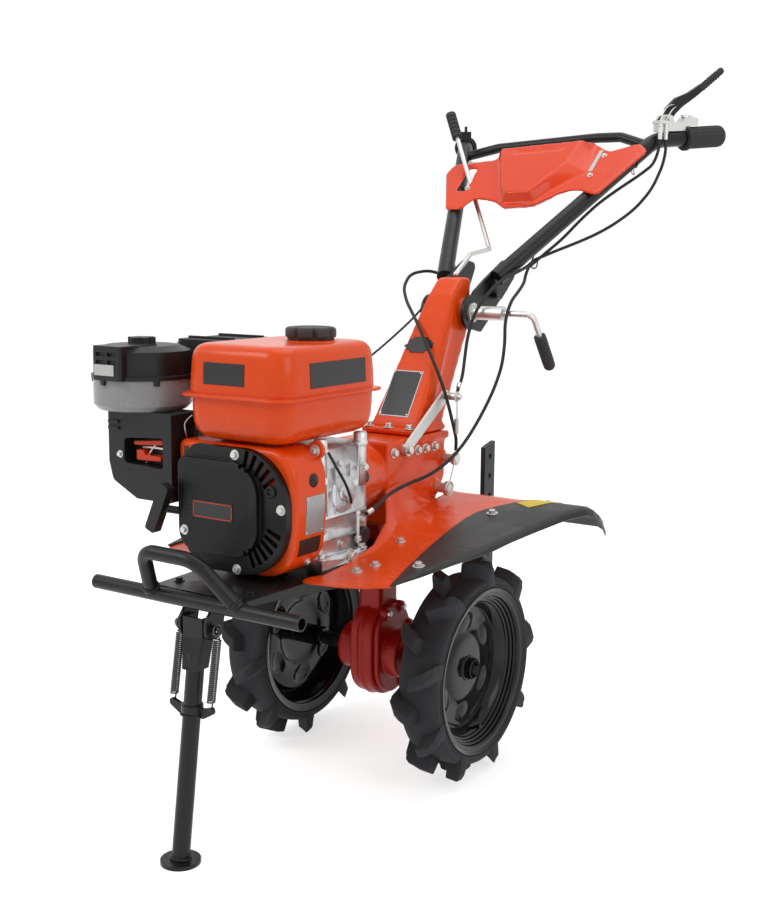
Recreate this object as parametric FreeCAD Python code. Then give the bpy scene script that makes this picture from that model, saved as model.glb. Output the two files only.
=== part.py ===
"""Two-wheel walking tiller with a petrol engine on its front deck.

Millimetres, +Z up, forward is -Y, the machine's left is +X. The pieces are drawn
with the wheel axle at y = 0 and the ground at z = 0, then moved along Y so that
the origin lies on the ground at the middle of the whole machine.
"""
import FreeCAD
import Part

import math
import os

# ---- clearances -------------------------------------------------------------
SEAT = 0.3            # gap at which one piece rests on another
RUNNING = 0.05        # radial clearance of a shaft in its bore

# ---- wheels -----------------------------------------------------------------
WHEEL_RADIUS = 190.0      # over the lugs
AXLE_Z = 190.0            # the axle's height on the machine as it is drawn
GROUND_Z = AXLE_Z - WHEEL_RADIUS
CARCASS_RADIUS = 162.0
TYRE_WIDTH = 79.0
TRACK = 363.0
LUGS_PER_SIDE = 9
LUG_LENGTH = 40.0         # along the axle
LUG_THICK = 22.0
LUG_SWEEP = 30.0          # degrees from the axle direction
RIM_FLANGE_RADIUS = 142.7
RIM_SEAT_RADIUS = 130.0
RIM_WIDTH = 74.0
SHEET = 3.0               # rim sheet
HEX_ACROSS_FLATS = 23.0
HUB_ACROSS_FLATS = 33.0
HUB_OUTSIDE = 17.5        # hub's outer end beyond the wheel's middle plane
HUB_INSIDE = 62.0         # hub's inner end, the other way
JOURNAL_RADIUS = 15.0

# ---- gearbox ----------------------------------------------------------------
LEG_HALF_WIDTH = 23.5
LEG_FRONT = -33.0
LEG_BACK = 28.0
LEG_TOP = 430.0
CASE_RADIUS = 58.0        # both ends of the oval chain case
CASE_ENDS = (170.0, 226.0)   # heights of the two ends
COVER_THICK = 10.0
CASE_BOSS_RADIUS = 42.0
CASE_BOSS_END = 62.0
CASE_LOBES = (-62, -20, 24, 68, 118)   # degrees of the cover's bolt lobes about the axle
BOX_HALF_WIDTH = 55.0
BOX_FRONT = -60.0
BOX_BACK = 130.0
BOX_TOP = 576.0
SHAFT_BOSS = 6.0          # how far the shafts' bosses stand out of the gearbox's side
CONTROL_SHAFTS = ((118.0, 528.0, 8.0), (92.0, 478.0, 9.0))   # y, z and radius
ARM_PIVOT = (-9.0, 558.0)
ARM_END = (118.0, 640.0)
PIN_RADIUS = 7.0
BELL_RADIUS = 74.0
BELL_FRONT = -168.0
CRANK_HEIGHT = 516.0

# ---- column and handlebar ---------------------------------------------------
COLUMN_FLANGE = 12.0
COLUMN_BASE_Y = (42.0, 128.0)
COLUMN_BASE_HALF = 50.0
COLUMN_HEAD_Y = (196.0, 262.0)
COLUMN_HEAD_HALF = 27.0
RIB_SPREAD = 1.08         # how far the side ribs stand out of the taper
COLUMN_HEAD_Z = 815.0
COLUMN_TOP_Z = 848.0
PIVOT_Y = 234.0
PIVOT_Z = 784.0
PIVOT_BOSS_RADIUS = 24.0
PIVOT_BOSS_HALF = 40.0
CLAMP_ROD_RADIUS = 6.0
CRANK_RADIUS = 5.5
TUBE_RADIUS = 15.9
GRIP_RADIUS = 22.0
GRIP_COLLAR = 6.0
GRIP_FLANGE = 3.0
CLUTCH_PIVOT = 138.0      # back from the tube's end
CLUTCH_PIVOT_RISE = 24.0
ADJUSTER_X = 25.0
ADJUSTER_Y = (-31.0, -17.0)
ADJUSTER_END = -42.0
CONSOLE_Y = 450.0         # where the console's own frame starts, on the tubes
CONSOLE_SHEET = 5.0
CONSOLE_RISE = 20.0
CONSOLE_LIP = 6.0
BAR_START = (56.75, 307.0, 846.5)
BAR_BEND = (220.0, 660.0, 1120.0)
BAR_END = (300.0, 800.0, 1135.0)
BAR_BEND_RADIUS = 90.0
CROSS_TUBE_RIGHT = 0.92    # where the cross tube meets each handlebar, from its start to its bend
CROSS_TUBE_LEFT = 0.955
CROSS_TUBE_CROWN = [(-127, 642, 1115), (98, 648, 1128), (150, 652, 1128)]
CROSS_TUBE_RADIUS = 10.0
GRIP_LENGTH = 84.0
SLEEVE_END = 114.0        # outer end of the clamp's spacer sleeve
CRANK_X = 172.0
CRANK_DROP = (60.0, -88.0)   # back and down from the crank's bend to its end
BRACKET_THICK = 6.0
PLATE_END_RADIUS = 32.0
TUBE_INNER_X = BAR_START[0] - TUBE_RADIUS   # the tube's side that faces the clamp plate

# ---- deck, bumper, stand ----------------------------------------------------
DECK_TOP = 400.0
DECK_THICK = 4.0
DECK_FRONT_HALF = 88.0
DECK_BACK_HALF = 104.0
DECK_FRONT_Y = -474.7
DECK_WIDEST_Y = -170.0
DECK_BACK_HALF_WIDTH = 62.0
DECK_BACK_Y = -36.0
DECK_SKIRT = 26.0         # depth of the turned-down side at the back
RAIL_FRONT = -400.0
BUMPER_LENGTH = 397.0
BUMPER_RADIUS = 11.0
BUMPER_Y = -486.0
BUMPER_Z = 390.0
BUMPER_BORE = 8.5
HOOP_FEET = (-82.0, 88.0)
HOOP_TOP = ((-64.0, -522.0, 464.0), (34.0, -518.0, 462.0))
HOOP_BENDS = [26.0, 50.0]
STAND_PIVOT_Y = -476.0
STAND_PIVOT_Z = 350.0
FOOT_Y = -523.0
FOOT_RADIUS = 30.0
STAND_TUBE_RADIUS = 13.5
STAND_PIN_RADIUS = 6.0
STAND_HEAD_HALF = 19.0
STAND_EAR_X = (22.5, 27.5)    # each fixed ear, across
SPRING_X = 36.0
SPRING_RADIUS = 5.5
SPRING_HOOKS_Z = (350.0, 240.0)

# ---- engine -----------------------------------------------------------------
ENGINE_BASE = 410.0
CRANKCASE_HALF = 96.0
CRANKCASE_Y = (-300.0, BELL_FRONT - SEAT)
CRANKCASE_TOP = 596.0
SHROUD_FRONT = -378.0
SHROUD_X = (-126.0, 104.0)
SHROUD_Z = (410.0, 606.0)
RECOIL_FRONT = -392.0
RECOIL_DOME = 10.0
TANK_X = (-110.0, 101.0)
TANK_Y = (-401.0, -128.0)
TANK_SEAM_Z = 679.0
TANK_TOP = 757.0
TANK_BOTTOM = 608.0
TANK_FLANGE = 4.0
TANK_LIP = 7.0           # how far the seam flange stands out of the upper shell
TANK_BOWL_LIP = 10.0     # and out of the lower one
POST_Y = (-286.0, -180.0)
CAP_X = 25.0
CAP_Y = -234.0
CAP_RADIUS = 40.0
CAP_HEIGHT = 22.0
CAP_SCALLOPS = 9
CYLINDER_TILT = 20.0
CARB_WINDOW = 26.0
RECOIL_SLOTS = (74, 64, 54, 44, 34, -22, -31, -40, -49, -58, -67)   # degrees about the crankshaft
HANDLE_STEM_RADIUS = 6.0
HANDLE_TOP = (-110.0, -420.0, 540.0)
HANDLE_BOTTOM = (-143.0, -420.0, 466.0)
CLEANER_X = -225.0
CLEANER_Y = -350.0
CLEANER_RADIUS = 79.0
CLEANER_Z = (645.0, 694.0, 742.0)   # bottom of the bowl, its seam and the lid's shoulder
CARB_X = (-262.0, -126.3)
CARB_Y = (-392.0, -332.0)
MUFFLER_X = (-236.0, -124.0)
MUFFLER_Y = (-262.0, -132.0)
MUFFLER_Z = (656.0, 750.0)

# ---- fenders ----------------------------------------------------------------
FENDER_SHEET = 2.5
FENDER_LINE = ((-350.0, 403.0), (-300.0, 405.5), (-171.0, 420.0), (-110.0, 427.5), (17.0, 444.0),
               (100.0, 456.0), (145.0, 461.0), (165.0, 458.5), (190.0, 448.0), (212.0, 432.0),
               (232.0, 412.0))   # y and z of the fender's top

# ---- cables -------------------------------------------------------------------
CABLE_RADIUS = 3.0
THIN_CABLE_RADIUS = 2.0
CLUTCH_RING = (84.0, 408.0, 880.0)
ENGINE_RING = (74.0, 405.0, 866.0)

# ---- drag bar ---------------------------------------------------------------
DRAG_BAR_THICK = 10.0
DRAG_BAR_DEPTH = 40.0
DRAG_BAR_Y = 371.0
DRAG_BAR_Z = (110.0, 518.0)
DRAG_HOLE_RADIUS = 5.5


def vec(point):
    """A FreeCAD vector from three numbers."""
    return FreeCAD.Vector(*point)


def block(x, y, z):
    """An upright box between the (low, high) pairs of each axis."""
    return Part.makeBox(x[1] - x[0], y[1] - y[0], z[1] - z[0], vec((x[0], y[0], z[0])))


def rod(start, end, radius):
    """A round bar between two points."""
    start = vec(start)
    run = vec(end) - start
    return Part.makeCylinder(radius, run.Length, start, run)


def cone(start, end, first, last):
    """A tapered round bar between two points."""
    start = vec(start)
    run = vec(end) - start
    return Part.makeCone(first, last, run.Length, start, run)


def bends(points, radii):
    """Tangent arcs at the inner points: (start, middle, end, centre, axis, turn) of each."""
    points = [vec(point) for point in points]
    arcs = []
    for before, corner, after, radius in zip(points, points[1:], points[2:], radii):
        back = (before - corner).normalize()
        ahead = (after - corner).normalize()
        half = back.getAngle(ahead) / 2
        reach = radius / math.tan(half)
        bisector = (back + ahead).normalize()
        centre = corner + bisector * (radius / math.sin(half))
        axis = back.cross(ahead) * -1
        turn = 180 - math.degrees(2 * half)
        arcs.append((corner + back * reach, centre - bisector * radius, corner + ahead * reach,
                     centre, axis, turn))
    return arcs


def bent_rod(points, radius, radii):
    """A round bar along straight runs and tangent bends; one radius, or one for each corner."""
    if not isinstance(radii, list):
        radii = [radii] * (len(points) - 2)
    previous = vec(points[0])
    pieces = []
    for start, _, end, centre, axis, turn in bends(points, radii):
        run = start - previous
        pieces.append(Part.makeCylinder(radius, run.Length, previous, run))
        ring = Part.Face(Part.Wire(Part.makeCircle(radius, start, run)))
        pieces.append(ring.revolve(centre, axis, turn))
        previous = end
    run = vec(points[-1]) - previous
    pieces.append(Part.makeCylinder(radius, run.Length, previous, run))
    return pieces[0].multiFuse(pieces[1:])


def path_length(points, radii):
    """Length of the middle line of a bent rod."""
    previous = vec(points[0])
    length = 0.0
    for (start, _, end, _, _, turn), radius in zip(bends(points, radii), radii):
        length += (start - previous).Length + radius * math.radians(turn)
        previous = end
    return length + (vec(points[-1]) - previous).Length


def cord(name, points, radius):
    """A cable: every arc as large as its two runs allow."""
    radii = []
    vectors = [vec(point) for point in points]
    for before, corner, after in zip(vectors, vectors[1:], vectors[2:]):
        back = before - corner
        ahead = after - corner
        half_turn = (math.pi - back.getAngle(ahead)) / 2
        radii.append(0.45 * min(back.Length, ahead.Length) / math.tan(half_turn))
    print(name, "bend radii", [round(value) for value in radii])
    solid = bent_rod(points, radius, radii)
    length = path_length(points, radii)
    ratio = solid.Volume / (math.pi * radius ** 2 * length)
    print(name, "length", round(length), "volume against section times length", round(ratio, 4))
    return solid


def outline(points, plane, level):
    """A closed polygon wire in the plane "xy", "xz" or "yz" at a level."""
    corners = []
    for first, second in points:
        corner = {"xy": (first, second, level), "xz": (first, level, second),
                  "yz": (level, first, second)}[plane]
        corners.append(vec(corner))
    return Part.makePolygon(corners + corners[:1])


def prism(points, plane, low, high):
    """A polygon pushed along the axis that is normal to its plane."""
    direction = {"xy": (0, 0, 1), "xz": (0, 1, 0), "yz": (1, 0, 0)}[plane]
    face = Part.Face(outline(points, plane, low))
    return face.extrude(vec(direction) * (high - low))


def rounded(points, plane, level):
    """A closed wire with rounded corners from (first, second, corner radius) points."""
    corners = []
    for first, second, _ in points:
        corners.append(vec({"xy": (first, second, level), "xz": (first, level, second),
                            "yz": (level, first, second)}[plane]))
    edges = []
    joints = []
    for index, corner in enumerate(corners):
        radius = points[index][2]
        back = (corners[index - 1] - corner).normalize()
        ahead = (corners[(index + 1) % len(corners)] - corner).normalize()
        half = back.getAngle(ahead) / 2
        reach = radius / math.tan(half)
        bisector = (back + ahead).normalize()
        middle = corner + bisector * (radius / math.sin(half) - radius)
        joints.append((corner + back * reach, middle, corner + ahead * reach, radius))
    for index, (start, middle, end, radius) in enumerate(joints):
        if radius > 0:
            edges.append(Part.Arc(start, middle, end).toShape())
        following = joints[(index + 1) % len(joints)][0]
        if (following - end).Length > 1e-6:
            edges.append(Part.LineSegment(end, following).toShape())
    return Part.Wire(edges)


def moulding(points, plane, low, high):
    """A rounded outline pushed along the axis that is normal to its plane."""
    direction = {"xy": (0, 0, 1), "xz": (0, 1, 0), "yz": (1, 0, 0)}[plane]
    return Part.Face(rounded(points, plane, low)).extrude(vec(direction) * (high - low))


def sheet(points, thick):
    """The closed outline of a bent sheet: a line of points and its offset to the right."""
    normals = []
    for start, end in zip(points, points[1:]):
        run = math.hypot(end[0] - start[0], end[1] - start[1])
        normals.append(((end[1] - start[1]) / run, -(end[0] - start[0]) / run))
    pairs = zip([normals[0]] + normals, normals + [normals[-1]])
    offset = []
    for (first, second), (before, after) in zip(points, pairs):
        share = 1 + before[0] * after[0] + before[1] * after[1]
        offset.append((first + thick * (before[0] + after[0]) / share,
                       second + thick * (before[1] + after[1]) / share))
    return list(points) + offset[::-1]


def round_rectangle(centre, width, depth, radius, z):
    """A level rounded rectangle wire."""
    x, y = centre
    half_x = width / 2
    half_y = depth / 2
    box = Part.makePlane(width, depth, vec((x - half_x, y - half_y, z)))
    solid = box.extrude(vec((0, 0, 1)))
    upright = [edge for edge in solid.Edges if abs(edge.tangentAt(edge.FirstParameter).z) > 0.9]
    solid = solid.makeFillet(radius, upright)
    faces = [face for face in solid.Faces if abs(face.CenterOfMass.z - z) < 1e-6]
    return faces[0].OuterWire


def softened(solid, radius, chosen=None):
    """Fillets the edges that chosen accepts, or all of them."""
    edges = [edge for edge in solid.Edges if chosen is None or chosen(edge)]
    return solid.makeFillet(radius, edges)


def runs_along(axis):
    """A test for straight edges along one axis."""
    index = "xyz".index(axis)

    def test(edge):
        tangent = edge.tangentAt(edge.FirstParameter)
        straight = edge.Curve.TypeId == "Part::GeomLine"
        return straight and abs(tangent[index]) > 0.999

    return test


def spun(points):
    """A ring about the X axis from (x, radius) points."""
    wire = outline([(x, r) for x, r in points], "xz", 0.0)
    face = Part.Face(wire)
    ring = face.revolve(vec((0, 0, 0)), vec((1, 0, 0)), 360)
    if ring.Volume < 0:
        ring.reverse()
    return ring


def mirrored(solid):
    """The same piece on the other side of the machine."""
    return solid.mirror(vec((0, 0, 0)), vec((1, 0, 0)))


def hexagon_bar(across_flats, start_x, end_x, y, z):
    """A six-sided bar along X, with flats above and below."""
    radius = across_flats / math.sqrt(3)
    points = []
    for step in range(6):
        angle = math.radians(60 * step)
        points.append((y + radius * math.cos(angle), z + radius * math.sin(angle)))
    return prism(points, "yz", start_x, end_x)


# ---- wheels -----------------------------------------------------------------
def lug(side):
    """One bar of the tread, leaning from the middle of the tyre to its shoulder."""
    sweep = math.radians(LUG_SWEEP)
    half = LUG_THICK / 2 / math.cos(sweep)
    lean = LUG_LENGTH * math.tan(sweep)
    sections = []
    for level, grow in ((RIM_FLANGE_RADIUS + 4, 1.35), (WHEEL_RADIUS + 6, 0.8)):
        points = [(0, -half * grow - lean / 2), (0, half * grow - lean / 2),
                  (side * LUG_LENGTH, half * grow + lean / 2),
                  (side * LUG_LENGTH, -half * grow + lean / 2)]
        sections.append(outline(points, "xy", level))
    return Part.makeLoft(sections, True, True)


def tyre():
    """Carcass with two rows of alternating lugs, centred on the origin."""
    half = TYRE_WIDTH / 2
    bead = RIM_WIDTH / 2 - SHEET - SEAT
    carcass = spun([(-bead, RIM_SEAT_RADIUS), (bead, RIM_SEAT_RADIUS),
                    (bead, RIM_FLANGE_RADIUS + 1), (half - 2, RIM_FLANGE_RADIUS + 5),
                    (half - 3, CARCASS_RADIUS - 8), (half - 10, CARCASS_RADIUS - 1),
                    (0, CARCASS_RADIUS), (-half + 10, CARCASS_RADIUS - 1),
                    (-half + 3, CARCASS_RADIUS - 8), (-half + 2, RIM_FLANGE_RADIUS + 5),
                    (-bead, RIM_FLANGE_RADIUS + 1)])
    reach = spun([(-half, RIM_FLANGE_RADIUS + 5), (half, RIM_FLANGE_RADIUS + 5),
                  (half, WHEEL_RADIUS - 10), (half - 8, WHEEL_RADIUS),
                  (-half + 8, WHEEL_RADIUS), (-half, WHEEL_RADIUS - 10)])
    lugs = []
    for side, start in ((1, 0.0), (-1, 0.5)):
        for step in range(LUGS_PER_SIDE):
            bar = lug(side)
            bar.rotate(vec((0, 0, 0)), vec((1, 0, 0)), 360 / LUGS_PER_SIDE * (step + start))
            lugs.append(bar.common(reach))
    return carcass.multiFuse(lugs).removeSplitter()


def rim():
    """Pressed rim with its dished disc and the welded hexagon hub tube."""
    half = RIM_WIDTH / 2
    seat = RIM_SEAT_RADIUS - SEAT
    barrel = spun([(-half, RIM_FLANGE_RADIUS), (-half + SHEET, RIM_FLANGE_RADIUS),
                   (-half + SHEET, seat), (half - SHEET, seat),
                   (half - SHEET, RIM_FLANGE_RADIUS), (half, RIM_FLANGE_RADIUS),
                   (half, seat - SHEET), (-half, seat - SHEET)])
    profile = [(20.0, seat - SHEET / 2), (14.0, 116.0), (4.0, 110.0), (-4.0, 104.0),
               (-5.0, 84.0), (1.0, 62.0), (3.0, 40.0), (3.0, HUB_ACROSS_FLATS / 2 - 2)]
    back = [(x - SHEET, r) for x, r in reversed(profile)]
    disc = spun(profile + back)
    hub = hexagon_bar(HUB_ACROSS_FLATS, -HUB_INSIDE, HUB_OUTSIDE, 0, 0)
    wheel = barrel.multiFuse([disc, hub])
    bore = hexagon_bar(HEX_ACROSS_FLATS + 2 * SEAT, -HUB_INSIDE - 1, HUB_OUTSIDE + 1, 0, 0)
    return wheel.cut(bore)


def axle_shaft():
    """Hexagon output shaft that carries both wheels, round where it runs."""
    half = TRACK / 2 + HUB_OUTSIDE - 12
    bar = hexagon_bar(HEX_ACROSS_FLATS, -half, half, 0, 0)
    journal = rod((-CASE_BOSS_END, 0, 0), (CASE_BOSS_END, 0, 0), JOURNAL_RADIUS)
    return bar.fuse(journal)


def placed_wheel(piece, side):
    """Moves a wheel piece to its side; the right one is a mirror image."""
    solid = piece.copy()
    solid.translate(vec((TRACK / 2, 0, 0)))
    if side < 0:
        solid = mirrored(solid)
    solid.translate(vec((0, 0, AXLE_Z)))
    return solid


# ---- gearbox ----------------------------------------------------------------
def case_oval(low, high, radius):
    """The chain case's oval between two x planes."""
    bottom, top = CASE_ENDS
    ends = [rod((low, 0, z), (high, 0, z), radius) for z in CASE_ENDS]
    return block((low, high), (-radius, radius), (bottom, top)).multiFuse(ends)


def gearbox_leg():
    """Chain case that hangs from the gearbox and holds the axle."""
    leg = block((-LEG_HALF_WIDTH, LEG_HALF_WIDTH), (LEG_FRONT, LEG_BACK), (AXLE_Z, LEG_TOP))
    leg = softened(leg, 8, runs_along("z"))
    case = case_oval(-LEG_HALF_WIDTH, LEG_HALF_WIDTH, CASE_RADIUS)
    rib = case_oval(-3, 3, CASE_RADIUS + 3)
    boss = rod((-CASE_BOSS_END, 0, AXLE_Z), (0, 0, AXLE_Z), CASE_BOSS_RADIUS)
    bore = rod((-100, 0, AXLE_Z), (100, 0, AXLE_Z), JOURNAL_RADIUS + RUNNING)
    return leg.multiFuse([case, rib, boss]).cut(bore)


def leg_cover():
    """Cover on the left side of the chain case, with lobes for its bolts."""
    inner = LEG_HALF_WIDTH + SEAT
    plate = case_oval(inner, inner + COVER_THICK, CASE_RADIUS - 6)
    middle = sum(CASE_ENDS) / 2
    lobes = []
    for angle in CASE_LOBES:
        y = (CASE_RADIUS - 4) * math.cos(math.radians(angle))
        z = middle + (CASE_RADIUS + 20) * math.sin(math.radians(angle))
        lobes.append(rod((inner, y, z), (inner + COVER_THICK + 4, y, z), 10))
    boss = rod((inner, 0, AXLE_Z), (CASE_BOSS_END, 0, AXLE_Z), CASE_BOSS_RADIUS)
    bore = rod((0, 0, AXLE_Z), (100, 0, AXLE_Z), JOURNAL_RADIUS + RUNNING)
    return plate.multiFuse(lobes + [boss]).cut(bore)


def gearbox_housing():
    """Upper gearbox with the bell that meets the engine and the lugs of its cover."""
    low = LEG_TOP + SEAT
    body = moulding([(BOX_FRONT, low, 6), (LEG_BACK + 54, low, 14), (BOX_BACK, low + 62, 22),
                     (BOX_BACK, BOX_TOP, 2), (BOX_FRONT, BOX_TOP, 10)], "yz",
                    -BOX_HALF_WIDTH, BOX_HALF_WIDTH)
    bell = rod((0, BELL_FRONT, CRANK_HEIGHT), (0, BELL_FRONT + 14, CRANK_HEIGHT), BELL_RADIUS)
    throat = cone((0, BELL_FRONT + 14, CRANK_HEIGHT), (0, BOX_FRONT + 20, CRANK_HEIGHT),
                  BELL_RADIUS - 6, BOX_HALF_WIDTH - 4)
    pad = block((-BOX_HALF_WIDTH - 5, BOX_HALF_WIDTH + 5), (40, BOX_BACK + 8), (BOX_TOP - 14, BOX_TOP))
    boss_x = BOX_HALF_WIDTH + SHAFT_BOSS
    bosses = [rod((-BOX_HALF_WIDTH, y, z), (boss_x, y, z), radius + 6)
              for y, z, radius in CONTROL_SHAFTS]
    return body.multiFuse([bell, throat, pad] + bosses)


def hitch_bracket():
    """Two cheeks behind the gearbox leg that hold the drag bar."""
    inner = DRAG_BAR_THICK / 2 + SEAT
    cheeks = []
    for side in (-1, 1):
        low, high = sorted((side * inner, side * (inner + 6)))
        cheek = block((low, high), (LEG_BACK + SEAT, DRAG_BAR_Y + DRAG_BAR_DEPTH + 8), (346, 392))
        cheeks.append(cheek)
    foot = block((-LEG_HALF_WIDTH, LEG_HALF_WIDTH), (LEG_BACK + SEAT, LEG_BACK + 8), (330, 408))
    web = block((-inner - 1, inner + 1), (LEG_BACK + 4, DRAG_BAR_Y - 20), (360, 378))
    bracket = foot.multiFuse(cheeks + [web])
    middle = DRAG_BAR_Y + DRAG_BAR_DEPTH / 2
    hole = rod((-40, middle, 369), (40, middle, 369), DRAG_HOLE_RADIUS)
    return bracket.cut(hole)


def drag_bar():
    """Upright flat bar with a row of cross holes."""
    low, high = DRAG_BAR_Z
    back = DRAG_BAR_Y + DRAG_BAR_DEPTH
    half = DRAG_BAR_THICK / 2
    bar = prism([(DRAG_BAR_Y, low), (back, low + 16), (back, high), (DRAG_BAR_Y, high - 10)],
                "yz", -half, half)
    middle = DRAG_BAR_Y + DRAG_BAR_DEPTH / 2
    for z in (249, 289, 329, 369, 409, 449, 489):
        bar = bar.cut(rod((-40, middle, z), (40, middle, z), DRAG_HOLE_RADIUS))
    return bar


def hitch_pin():
    """Pin through the bracket and the drag bar."""
    middle = DRAG_BAR_Y + DRAG_BAR_DEPTH / 2
    half = DRAG_BAR_THICK / 2 + SEAT + 6
    shank = rod((-half - 12, middle, 369), (half, middle, 369), DRAG_HOLE_RADIUS - SEAT)
    head = rod((half + SEAT, middle, 369), (half + 7, middle, 369), DRAG_HOLE_RADIUS + 4)
    neck = rod((half - 1, middle, 369), (half + 2, middle, 369), DRAG_HOLE_RADIUS - SEAT)
    return shank.multiFuse([neck, head])


# ---- column -----------------------------------------------------------------
def column():
    """Leaning column from the gearbox top to the handlebar clamp, tapered in front view."""
    base_z = BOX_TOP + SEAT
    foot_z = base_z + COLUMN_FLANGE
    flange = block((-BOX_HALF_WIDTH, BOX_HALF_WIDTH), (18, 136), (base_z, foot_z))
    (front, back), (head_front, head_back) = COLUMN_BASE_Y, COLUMN_HEAD_Y
    side_view = [(front, foot_z - 1, 0), (back, foot_z - 1, 0),
                 (head_back, COLUMN_HEAD_Z - 40, 12), (head_back + 4, COLUMN_TOP_Z, 8),
                 (head_front + 34, COLUMN_TOP_Z, 24), (head_front - 2, COLUMN_HEAD_Z, 30)]
    body = moulding(side_view, "yz", -COLUMN_BASE_HALF, COLUMN_BASE_HALF)
    front_view = [(-COLUMN_BASE_HALF, foot_z - 1), (COLUMN_BASE_HALF, foot_z - 1),
                  (COLUMN_HEAD_HALF, COLUMN_HEAD_Z), (COLUMN_HEAD_HALF - 1, COLUMN_TOP_Z),
                  (1 - COLUMN_HEAD_HALF, COLUMN_TOP_Z), (-COLUMN_HEAD_HALF, COLUMN_HEAD_Z)]
    body = body.common(prism(front_view, "xz", 0, head_back + 20))
    rib = moulding([(92, 640, 6), (110, 640, 6), (head_front + 14, COLUMN_HEAD_Z - 12, 4),
                    (head_front + 4, COLUMN_HEAD_Z - 12, 4)], "yz", -COLUMN_BASE_HALF, COLUMN_BASE_HALF)
    wide = [(x * RIB_SPREAD, z) for x, z in front_view]
    rib = rib.common(prism(wide, "xz", 0, head_back + 20))
    boss = rod((-PIVOT_BOSS_HALF, PIVOT_Y, PIVOT_Z), (PIVOT_BOSS_HALF, PIVOT_Y, PIVOT_Z),
               PIVOT_BOSS_RADIUS)
    bore = rod((-60, PIVOT_Y, PIVOT_Z), (60, PIVOT_Y, PIVOT_Z), CLAMP_ROD_RADIUS + RUNNING)
    return flange.multiFuse([body, rib, boss]).cut(bore)


# ---- handlebar --------------------------------------------------------------
def handlebar_tube():
    """Left handlebar tube from the clamp plate to the end of its grip."""
    return bent_rod([BAR_START, BAR_BEND, BAR_END], TUBE_RADIUS, BAR_BEND_RADIUS)


def along_bar_end(distance):
    """A point on the grip's axis, counted back from the tube's end."""
    end = vec(BAR_END)
    direction = (end - vec(BAR_BEND)).normalize()
    return end - direction * distance


def grip():
    """Rubber grip over the end of the tube."""
    outer = rod(along_bar_end(GRIP_LENGTH), along_bar_end(-6), GRIP_RADIUS)
    collar = rod(along_bar_end(GRIP_LENGTH + GRIP_COLLAR), along_bar_end(GRIP_LENGTH - 2),
                 GRIP_RADIUS + GRIP_FLANGE)
    bore = rod(along_bar_end(GRIP_LENGTH + 20), along_bar_end(-SEAT), TUBE_RADIUS + SEAT)
    return outer.fuse(collar).cut(bore)


def handle_plate():
    """Left clamp plate, a curved horn that joins the tube to the column head."""
    inner = PIVOT_BOSS_HALF + SEAT
    outer = inner + BRACKET_THICK
    round_end = rod((inner, PIVOT_Y, PIVOT_Z), (outer, PIVOT_Y, PIVOT_Z), PLATE_END_RADIUS)
    horn = moulding([(PIVOT_Y - 26, PIVOT_Z, 0), (PIVOT_Y, PIVOT_Z - 30, 0), (270, 746, 8),
                     (304, 771, 20), (334, 797, 40), (374, 824, 20), (402, 872, 10),
                     (359, 880, 20), (322, 862, 40), (286, 845, 30), (244, 822, 10)],
                    "yz", inner, outer)
    bore = rod((0, PIVOT_Y, PIVOT_Z), (100, PIVOT_Y, PIVOT_Z), CLAMP_ROD_RADIUS + SEAT)
    saddle = moulding([(296, 812, 8), (318, 806, 8), (372, 850, 8), (360, 866, 8), (314, 852, 8)],
                      "yz", outer - 1, TUBE_INNER_X + 22)
    return round_end.multiFuse([horn, saddle]).cut(bore)


def handle_bracket():
    """Both clamp plates, each with the saddle that its tube is welded to."""
    room = bent_rod([BAR_START, BAR_BEND, BAR_END], TUBE_RADIUS + SEAT / 3, BAR_BEND_RADIUS)
    near = handle_plate().cut(room)
    return Part.makeCompound([near, mirrored(near)])


def cross_tube():
    """Bowed tube between the handlebars behind the console."""
    start = vec(BAR_START)
    run = vec(BAR_BEND) - start
    right = start + run * CROSS_TUBE_RIGHT
    left = start + run * CROSS_TUBE_LEFT
    bar = bent_rod([(-right.x, right.y, right.z)] + CROSS_TUBE_CROWN + [left], CROSS_TUBE_RADIUS, 30)
    room = rod(BAR_START, BAR_BEND, TUBE_RADIUS + SEAT / 3)
    return bar.cut(room).cut(mirrored(room))


def clamp_rod():
    """Threaded rod through the column head that clamps the plates."""
    inner = PIVOT_BOSS_HALF + 2 * SEAT + BRACKET_THICK
    end = SLEEVE_END + 4
    shank = rod((-inner - 14, PIVOT_Y, PIVOT_Z), (end, PIVOT_Y, PIVOT_Z), CLAMP_ROD_RADIUS)
    nut = hexagon_bar(20, -inner - 12, -inner, PIVOT_Y, PIVOT_Z)
    return shank.fuse(nut)


def clamp_sleeve():
    """Spacer sleeve and washer under the crank."""
    inner = PIVOT_BOSS_HALF + 2 * SEAT + BRACKET_THICK
    sleeve = rod((inner, PIVOT_Y, PIVOT_Z), (SLEEVE_END, PIVOT_Y, PIVOT_Z), 13)
    washer = rod((inner, PIVOT_Y, PIVOT_Z), (inner + 4, PIVOT_Y, PIVOT_Z), 18)
    bore = rod((0, PIVOT_Y, PIVOT_Z), (150, PIVOT_Y, PIVOT_Z), CLAMP_ROD_RADIUS + SEAT)
    return sleeve.fuse(washer).cut(bore)


def crank_line():
    """The crank's start at the rod, its bend and its lower end."""
    back, drop = CRANK_DROP
    return [vec((SLEEVE_END + 4 + SEAT, PIVOT_Y, PIVOT_Z)), vec((CRANK_X, PIVOT_Y, PIVOT_Z)),
            vec((CRANK_X + 4, PIVOT_Y + back, PIVOT_Z + drop))]


def clamp_crank():
    """Bent crank handle that turns the clamp rod."""
    return bent_rod(crank_line(), CRANK_RADIUS, 14)


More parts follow.
